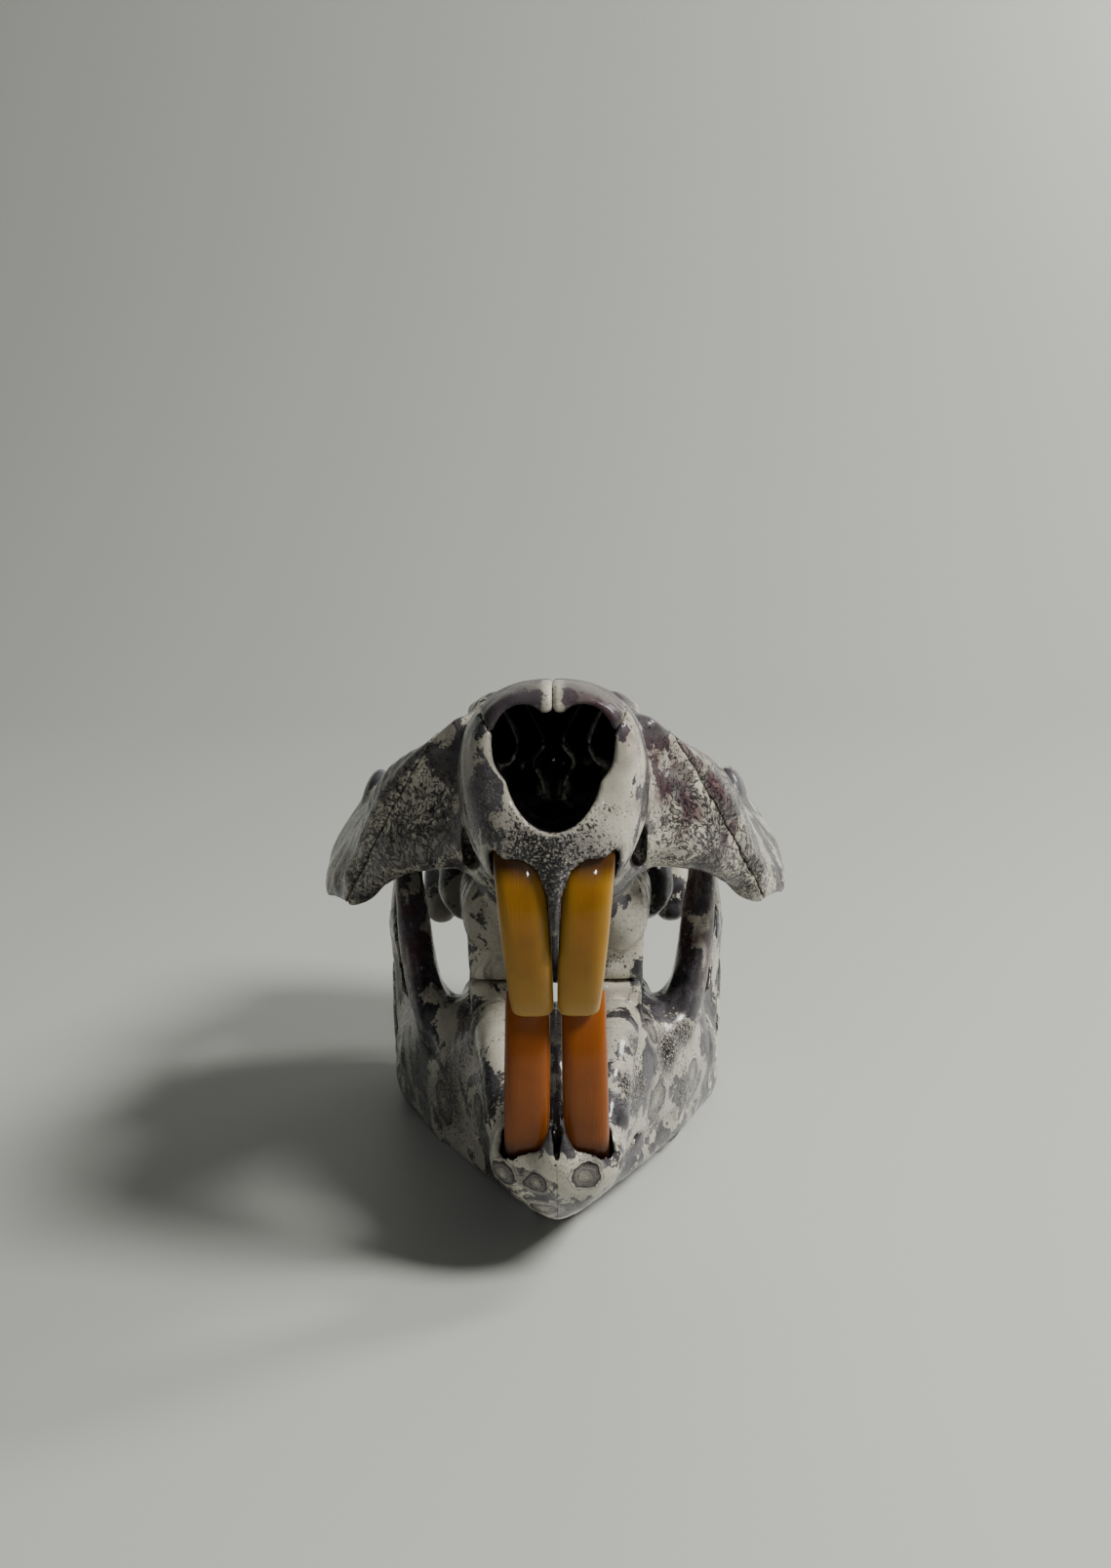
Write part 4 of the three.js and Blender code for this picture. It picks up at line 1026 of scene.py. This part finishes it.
def marbling_group():
    """Cream and grey patches with speckle, worm lines, streaks, ringed spots and a purple-brown stain, with a
    purple-grey cover that also paints shade, and painted shade in the hollows.
    """
    name = "bone_marbling"
    if name in bpy.data.node_groups:
        return bpy.data.node_groups[name]
    group, tree, given, out = new_group(
        name,
        [("Vector", VECTOR)] + [(colour, COLOUR) for colour in BONE_COLOURS]
        + [(mask, NUMBER) for mask in (*BONE_MASKS, "Cream Share")],
        [("Color", COLOUR), ("Height", NUMBER), ("Dullness", NUMBER), ("Gloss", NUMBER)])
    place = given["Vector"]
    flowing = tree.warped(place, 85, 0.011)
    finer = tree.warped(flowing, 420, 0.0018)
    colour = marbled_ground(tree, given, place, flowing, finer)
    colour = veil_and_stain(tree, given, flowing, colour)
    colour = ringed_spots(tree, given, place, colour)
    clumps = tree.band(tree.noise(flowing, 130, 3), 0.44, 0.60)
    clumps = tree.times(clumps, tree.minus(1.0, given["Veil_And_Shade"]))
    worm = worm_lines(tree, given, finer, clumps)
    colour = tree.mix(worm, colour, given["Dark"])
    colour = tree.mix(dark_streaks(tree, given, flowing), colour, given["Dark"])
    dot = black_dots(tree, given, place, clumps)
    colour = tree.mix(tree.times(dot, 0.95), colour, given["Dark"])
    pale_grains = tree.band(tree.noise(place, 2300, 2, 0.6), 0.56, 0.62)
    pale_grains = tree.times(pale_grains, tree.times(given["Speckle"], 0.4))
    colour = tree.mix(pale_grains, colour, given["Cream"])
    # The hollow mask takes the colour almost to Dark: painted shade in the hollows, and the dark front seam.
    tree.feed(out["Color"], tree.mix(tree.times(given["Hollow"], 0.985), colour, given["Dark"]))
    fine = tree.noise(place, 1500, 2)
    marks = tree.plus(tree.times(dot, 0.7), tree.times(worm, 0.5))
    tree.feed(out["Height"], tree.minus(tree.times(fine, 0.35), marks))
    tree.feed(out["Dullness"], tree.plus(tree.times(fine, 0.16), tree.times(dot, 0.1)))
    tree.feed(out["Gloss"], tree.minus(0.36, tree.times(given["Veil_And_Shade"], 0.3)))
    return group


def shiny_material(name, group):
    """A material whose colour, roughness and bump come from a marking group; gives the group's node too."""
    material = bpy.data.materials.new(name)
    material.use_nodes = True
    tree = Tree(material.node_tree)
    shader = material.node_tree.nodes["Principled BSDF"]
    marking = tree.node("ShaderNodeGroup", node_tree=group)
    tree.feed(marking.inputs["Vector"], tree.node("ShaderNodeTexCoord").outputs["Object"])
    tree.feed(shader.inputs["Base Color"], marking.outputs["Color"])
    tree.feed(shader.inputs["Roughness"], tree.plus(marking.outputs["Dullness"], 0.2))
    bump = tree.node("ShaderNodeBump")
    tree.feed(bump.inputs["Height"], marking.outputs["Height"])
    tree.feed(shader.inputs["Normal"], bump.outputs["Normal"])
    return material, tree, shader, marking, bump


def bone_material(name, colours, cream_share):
    """Sealed bone: marbled colour under a glossy coat."""
    if name in bpy.data.materials:
        return bpy.data.materials[name]
    material, tree, shader, marbling, bump = shiny_material(name, marbling_group())
    for socket in BONE_COLOURS:
        marbling.inputs[socket].default_value = (*getattr(colours, socket.lower()), 1)
    for socket in BONE_MASKS:
        tree.feed(marbling.inputs[socket], tree.attribute(socket.lower()))
    marbling.inputs["Cream Share"].default_value = cream_share
    tree.feed_all(bump, {"Strength": 0.55, "Distance": 0.0003})
    tree.feed_all(shader, {"Specular IOR Level": 0.22, "Coat Roughness": 0.06})
    tree.feed(shader.inputs["Coat Weight"], marbling.outputs["Gloss"])
    return material


def enamel_group():
    """Stained enamel: paler at the tip and edges, dark at the root, with fine streaks along the tooth."""
    name = "stained_enamel"
    if name in bpy.data.node_groups:
        return bpy.data.node_groups[name]
    group, tree, given, out = new_group(
        name,
        [("Along", NUMBER), ("Across", NUMBER), ("Back", NUMBER), ("Vector", VECTOR), ("Stain", COLOUR),
         ("Deep", COLOUR), ("Tip", COLOUR), ("Root", COLOUR), ("Root Start", NUMBER)],
        [("Color", COLOUR), ("Height", NUMBER), ("Dullness", NUMBER)])
    along = given["Along"]
    off_middle = tree.math("ABSOLUTE", given["Across"])
    stretch = tree.node("ShaderNodeCombineXYZ")
    tree.feed(stretch.inputs[0], tree.times(given["Across"], 9))
    tree.feed(stretch.inputs[1], tree.times(along, 3))
    streaks = tree.noise(stretch.outputs[0], 1.6, 4, 0.6)
    clouds = tree.noise(given["Vector"], 210, 4)
    core = tree.minus(1.0, tree.band(off_middle, 0.15, 0.85))
    core = tree.times(core, tree.band(along, 0.12, 0.5))
    colour = tree.mix(tree.times(core, 0.7), given["Stain"], given["Deep"])
    near_tip = tree.plus(along, tree.times(streaks, 0.12))
    tip = tree.minus(1.0, tree.band(near_tip, 0.03, 0.2))
    colour = tree.mix(tree.times(tip, 0.75), colour, given["Tip"])
    colour = tree.mix(tree.times(tree.band(clouds, 0.45, 0.7), 0.13), colour, given["Root"])
    colour = tree.mix(tree.times(tree.band(off_middle, 0.72, 1.0), 0.35), colour, given["Tip"])
    near_root = tree.plus(along, tree.times(streaks, 0.05))
    root = tree.band(near_root, given["Root Start"], tree.plus(given["Root Start"], 0.13))
    colour = tree.mix(tree.times(root, 0.96), colour, given["Root"])
    colour = tree.mix(tree.times(given["Back"], 0.8), colour, DENTINE)
    tree.feed(out["Color"], colour)
    tree.feed(out["Height"], tree.plus(streaks, tree.times(clouds, 0.5)))
    tree.feed(out["Dullness"], tree.times(streaks, 0.2))
    return group


def enamel_material(name, stain, shades):
    """Glossy enamel in one stain, with its deeper, tip and root shades."""
    material, tree, shader, enamel, bump = shiny_material(name, enamel_group())
    for socket in ("Along", "Across", "Back"):
        tree.feed(enamel.inputs[socket], tree.attribute(socket.lower()))
    enamel.inputs["Stain"].default_value = (*stain, 1)
    for socket in ("Deep", "Tip", "Root"):
        enamel.inputs[socket].default_value = (*shades[socket.lower()], 1)
    enamel.inputs["Root Start"].default_value = shades["root_start"]
    tree.feed_all(bump, {"Strength": 0.25, "Distance": 0.0002})
    tree.feed_all(shader, {"Specular IOR Level": 0.12, "Coat Weight": 0.3, "Coat Roughness": 0.04})
    return material


# Operators.

def skull_material(context):
    return bone_material("marbled_skull", context.scene.skull_colours, SKULL_CREAM_SHARE)


class SKULL_OT_cranium(bpy.types.Operator):
    """Shapes the upper skull with its cheek teeth, without the nasal and cheek bones."""
    bl_idname = "skull.cranium"
    bl_label = "Cranium"

    def execute(self, context):
        sizes = millimetres(context.scene.skull_sizes)
        field = whole_cranium(sizes)
        for zone in (nasal_zone(), cheek_zone()):
            field.cut(sizes.suture - zone(*field.grid()))
        points, quads = skin_of(field)
        mesh = mesh_from("cranium_bone", points, quads, bone_masks(points))
        add_piece("cranium_bone", mesh, skull_material(context), "skull_bone", "cranium")
        return {"FINISHED"}


def cut_flat(mesh, cut, way):
    """Cuts a half of the jaw flat beside the midline, on the side that the sign gives, and closes it."""
    shape = bmesh.new()
    shape.from_mesh(mesh)
    whole = [*shape.verts, *shape.edges, *shape.faces]
    made = bmesh.ops.bisect_plane(
        shape, geom=whole, dist=1e-7, plane_co=(way * cut * MM, 0, 0), plane_no=(way, 0, 0), clear_inner=True)
    rim = [item for item in made["geom_cut"] if isinstance(item, bmesh.types.BMEdge)]
    bmesh.ops.holes_fill(shape, edges=rim, sides=0)
    shape.to_mesh(mesh)
    shape.free()
    mesh.set_sharp_from_angle(angle=math.radians(SHARP_DEGREES))


def add_pair(name, points, quads, material, slot, node, midline_cut=None):
    sides = (("left", 1, points, quads), ("right", -1, mirrored(points), quads[:, ::-1]))
    for side, way, place, order in sides:
        mesh = mesh_from(f"{name}_{side}", place, order, bone_masks(place))
        if midline_cut is not None:
            cut_flat(mesh, midline_cut, way)
        add_piece(f"{name}_{side}", mesh, material, slot, f"{node}_{side}")


def part_pair(context, name, node, zone):
    """Parts a bone from the left of the upper skull, and adds it with its mirror image."""
    sizes = millimetres(context.scene.skull_sizes)
    field = whole_cranium(sizes)
    field.cut(zone(*field.grid()) + sizes.suture)
    field.mirrored = False
    points, quads = skin_of(field)
    add_pair(name, points, quads, skull_material(context), "skull_bone", node)


class SKULL_OT_nasals(bpy.types.Operator):
    """Parts the two nasal bones from the roof of the snout."""
    bl_idname = "skull.nasals"
    bl_label = "Nasal bones"

    def execute(self, context):
        zone = nasal_zone()
        part_pair(context, "nasal_bone", "nasal", lambda x, y, z: np.maximum(zone(x, y, z), -x))
        return {"FINISHED"}


class SKULL_OT_cheekbones(bpy.types.Operator):
    """Parts the two cheek bones from the cheek arches."""
    bl_idname = "skull.cheekbones"
    bl_label = "Cheek bones"

    def execute(self, context):
        part_pair(context, "cheek_bone", "cheekbone", cheek_zone())
        return {"FINISHED"}


class SKULL_OT_dentaries(bpy.types.Operator):
    """Shapes the two halves of the lower jaw with their cheek teeth."""
    bl_idname = "skull.dentaries"
    bl_label = "Lower jaw"

    def execute(self, context):
        sizes, colours = millimetres(context.scene.skull_sizes), context.scene.skull_colours
        points, quads = skin_of(whole_dentary(sizes))
        material = bone_material("marbled_jaw", colours, JAW_CREAM_SHARE)
        add_pair("jaw_bone", points, quads, material, "jaw_bone", "dentary", sizes.suture)
        return {"FINISHED"}


def incisor_section(around):
    """One section of an incisor: how far across and out each point is, and which points are in front."""
    turn = np.arange(around) / around * 2 * math.pi
    cosine, sine = np.cos(turn), np.sin(turn)
    front = sine > 0
    power = np.where(front, INCISOR_POWER["front"], INCISOR_POWER["back"])
    across = np.sign(cosine) * np.abs(cosine) ** power
    out = np.sign(sine) * np.abs(sine) ** power
    return across, out, front


def incisor_ring(size, share, across, out, front):
    """The section set on the tooth's arc, at a share of the way from tip to root."""
    angle = size["tip"] + (size["root"] - size["tip"]) * share
    wear = min(max(abs(angle - size["tip"]) / size["bevel"], THINNEST_WEAR), 1)
    inner, outer = incisor_edges(size, share)
    depth = np.where(front, size["front"], size["back"] * wear)
    radius = size["arc_radius"] - size["front"] + out * depth
    return np.stack([
        (inner + outer) / 2 + across * (outer - inner) / 2,
        size["arc_y"] - radius * math.cos(math.radians(angle)),
        size["arc_z"] + radius * math.sin(math.radians(angle)),
    ], axis=1)


def tube_quads(around, steps):
    """Faces between the rings of a tube, and across its two ends."""
    quads = []
    for s in range(steps):
        for i in range(around):
            a, b = s * around + i, s * around + (i + 1) % around
            quads.append((a, b, b + around, a + around))
    for ring in (np.arange(around)[::-1], steps * around + np.arange(around)):
        for i in range(around // 2 - 1):
            quads.append((ring[i], ring[i + 1], ring[around - 2 - i], ring[around - 1 - i]))
    return np.array(quads)


def incisor_mesh(name, size, side):
    """A section with a broad, flat front swept along an arc, ground to a chisel behind the tip."""
    around, steps = 64, 96
    across, out, front = incisor_section(around)
    shares = np.arange(steps + 1) / steps
    points = np.concatenate([incisor_ring(size, share, across, out, front) for share in shares])
    quads = tube_quads(around, steps)
    if (size["root"] > size["tip"]) == (side > 0):
        quads = quads[:, ::-1]
    if side < 0:
        points = mirrored(points)
    back = np.clip(-out * 1.6, 0, 1)
    masks = {
        "along": np.repeat(shares, around),
        "across": np.tile(across, steps + 1),
        "back": np.tile(back, steps + 1),
    }
    return mesh_from(name, points, quads, masks)


class SKULL_OT_incisors(bpy.types.Operator):
    """Makes the two upper and two lower incisors."""
    bl_idname = "skull.incisors"
    bl_label = "Incisors"

    def execute(self, context):
        colours = context.scene.skull_colours
        upper = enamel_material("amber_enamel", colours.amber, AMBER_SHADES)
        lower = enamel_material("rust_enamel", colours.rust, RUST_SHADES)
        for jaw, size, material in (("upper", UPPER_INCISOR, upper), ("lower", LOWER_INCISOR, lower)):
            for side, sign in (("left", 1), ("right", -1)):
                name = f"{jaw}_tooth_{side}"
                mesh = incisor_mesh(name, size, sign)
                add_piece(name, mesh, material, f"{jaw}_enamel", f"{jaw}_incisor_{side}")
        return {"FINISHED"}


def sweep_mesh():
    """A floor that curves up into a wall behind."""
    half, front, bend_start, bend, top = 1.6, -1.6, 0.55, 0.7, 1.9
    bend_steps = 24
    profile = [(front, 0.0), (bend_start, 0.0)]
    for i in range(1, bend_steps + 1):
        angle = math.radians(90 * i / bend_steps)
        profile.append((bend_start + bend * math.sin(angle), bend * (1 - math.cos(angle))))
    profile.append((bend_start + bend, top))
    points = [(x, y, z) for y, z in profile for x in (-half, half)]
    quads = [(2 * i, 2 * i + 1, 2 * i + 3, 2 * i + 2) for i in range(len(profile) - 1)]
    mesh = bpy.data.meshes.new("studio_floor")
    mesh.from_pydata(points, [], quads)
    mesh.shade_smooth()
    return mesh


def floor_material(colours):
    material = bpy.data.materials.new("studio_floor")
    material.use_nodes = True
    tree = Tree(material.node_tree)
    shader = material.node_tree.nodes["Principled BSDF"]
    tone = tree.noise(tree.node("ShaderNodeTexCoord").outputs["Object"], 6, 3)
    floor = (*colours.floor, 1)
    paler = tuple(min(c * 1.03, 1) for c in colours.floor) + (1,)
    tree.feed(shader.inputs["Base Color"], tree.mix(tone, floor, paler))
    shader.inputs["Roughness"].default_value = 0.42
    return material


SKULL_MIDDLE = (0, -0.02, 0.05)
LIGHTS = {
    "key_light": {"place": (0.57, -0.27, 0.69), "target": SKULL_MIDDLE, "size": 0.28, "power": 11.3,
                  "colour": (1, 0.985, 0.95)},
    "front_light": {"place": (0.10, -1.0, 0.44), "target": SKULL_MIDDLE, "size": 0.05, "power": 0.8,
                    "colour": (0.97, 0.985, 1)},
    "back_light": {"place": (1.1, 0.5, 1.1), "target": (0.1, 1.25, 0.45), "size": 0.5, "power": 20,
                   "colour": (1, 0.99, 0.95)},
}


def add_area_light(name, place, target, size, power, colour):
    data = bpy.data.lights.new(name, "AREA")
    data.shape = "DISK"
    data.size = size
    data.energy = power
    data.color = colour
    light = bpy.data.objects.new(name, data)
    light.location = place
    light.rotation_euler = (Vector(target) - Vector(place)).to_track_quat("-Z", "Y").to_euler()
    light.visible_camera = False
    bpy.context.scene.collection.objects.link(light)


class SKULL_OT_stage(bpy.types.Operator):
    """Adds the floor, the soft lights and the camera at the photograph's angle."""
    bl_idname = "skull.stage"
    bl_label = "Stage"

    def execute(self, context):
        scene = context.scene
        floor = bpy.data.objects.new("studio_floor", sweep_mesh())
        floor.data.materials.append(floor_material(scene.skull_colours))
        scene.collection.objects.link(floor)
        for name, light in LIGHTS.items():
            add_area_light(name, **light)
        world = bpy.data.worlds.new("studio_air")
        world.use_nodes = True
        air = world.node_tree.nodes["Background"]
        air.inputs["Color"].default_value = (0.9, 0.92, 0.9, 1)
        air.inputs["Strength"].default_value = 0.085
        scene.world = world
        camera = bpy.data.objects.new("photo_camera", bpy.data.cameras.new("photo_camera"))
        camera.data.lens = camera.data.sensor_width * FOCAL_PIXELS / IMAGE_HEIGHT
        camera.data.clip_start = 0.01
        x, y, z = CAMERA_PLACE
        camera.location = (x * MM, (y - FOOTPRINT_MIDDLE_Y) * MM, z * MM)
        camera.rotation_euler = (math.radians(90 - CAMERA_PITCH), math.radians(CAMERA_ROLL), 0)
        scene.collection.objects.link(camera)
        scene.camera = camera
        return {"FINISHED"}


class SKULL_PT_panel(bpy.types.Panel):
    """Sizes, colours and the steps that build the skull."""
    bl_idname = "SKULL_PT_panel"
    bl_label = "Beaver Skull"
    bl_space_type = "VIEW_3D"
    bl_region_type = "UI"
    bl_category = "Skull"

    def draw(self, context):
        for group in (context.scene.skull_sizes, context.scene.skull_colours):
            for name in group.__annotations__:
                self.layout.prop(group, name)
        for step in STEPS:
            self.layout.operator(step.bl_idname)


STEPS = (SKULL_OT_cranium, SKULL_OT_nasals, SKULL_OT_cheekbones, SKULL_OT_dentaries, SKULL_OT_incisors,
         SKULL_OT_stage)
CLASSES = (SkullSizes, SkullColours, *STEPS, SKULL_PT_panel)


def register():
    for item in CLASSES:
        bpy.utils.register_class(item)
    bpy.types.Scene.skull_sizes = bpy.props.PointerProperty(type=SkullSizes)
    bpy.types.Scene.skull_colours = bpy.props.PointerProperty(type=SkullColours)


def unregister():
    del bpy.types.Scene.skull_colours
    del bpy.types.Scene.skull_sizes
    for item in reversed(CLASSES):
        bpy.utils.unregister_class(item)


def main():
    register()
    bpy.ops.skull.cranium()
    bpy.ops.skull.nasals()
    bpy.ops.skull.cheekbones()
    bpy.ops.skull.dentaries()
    bpy.ops.skull.incisors()
    bpy.ops.skull.stage()


if __name__ == "__main__":
    main()
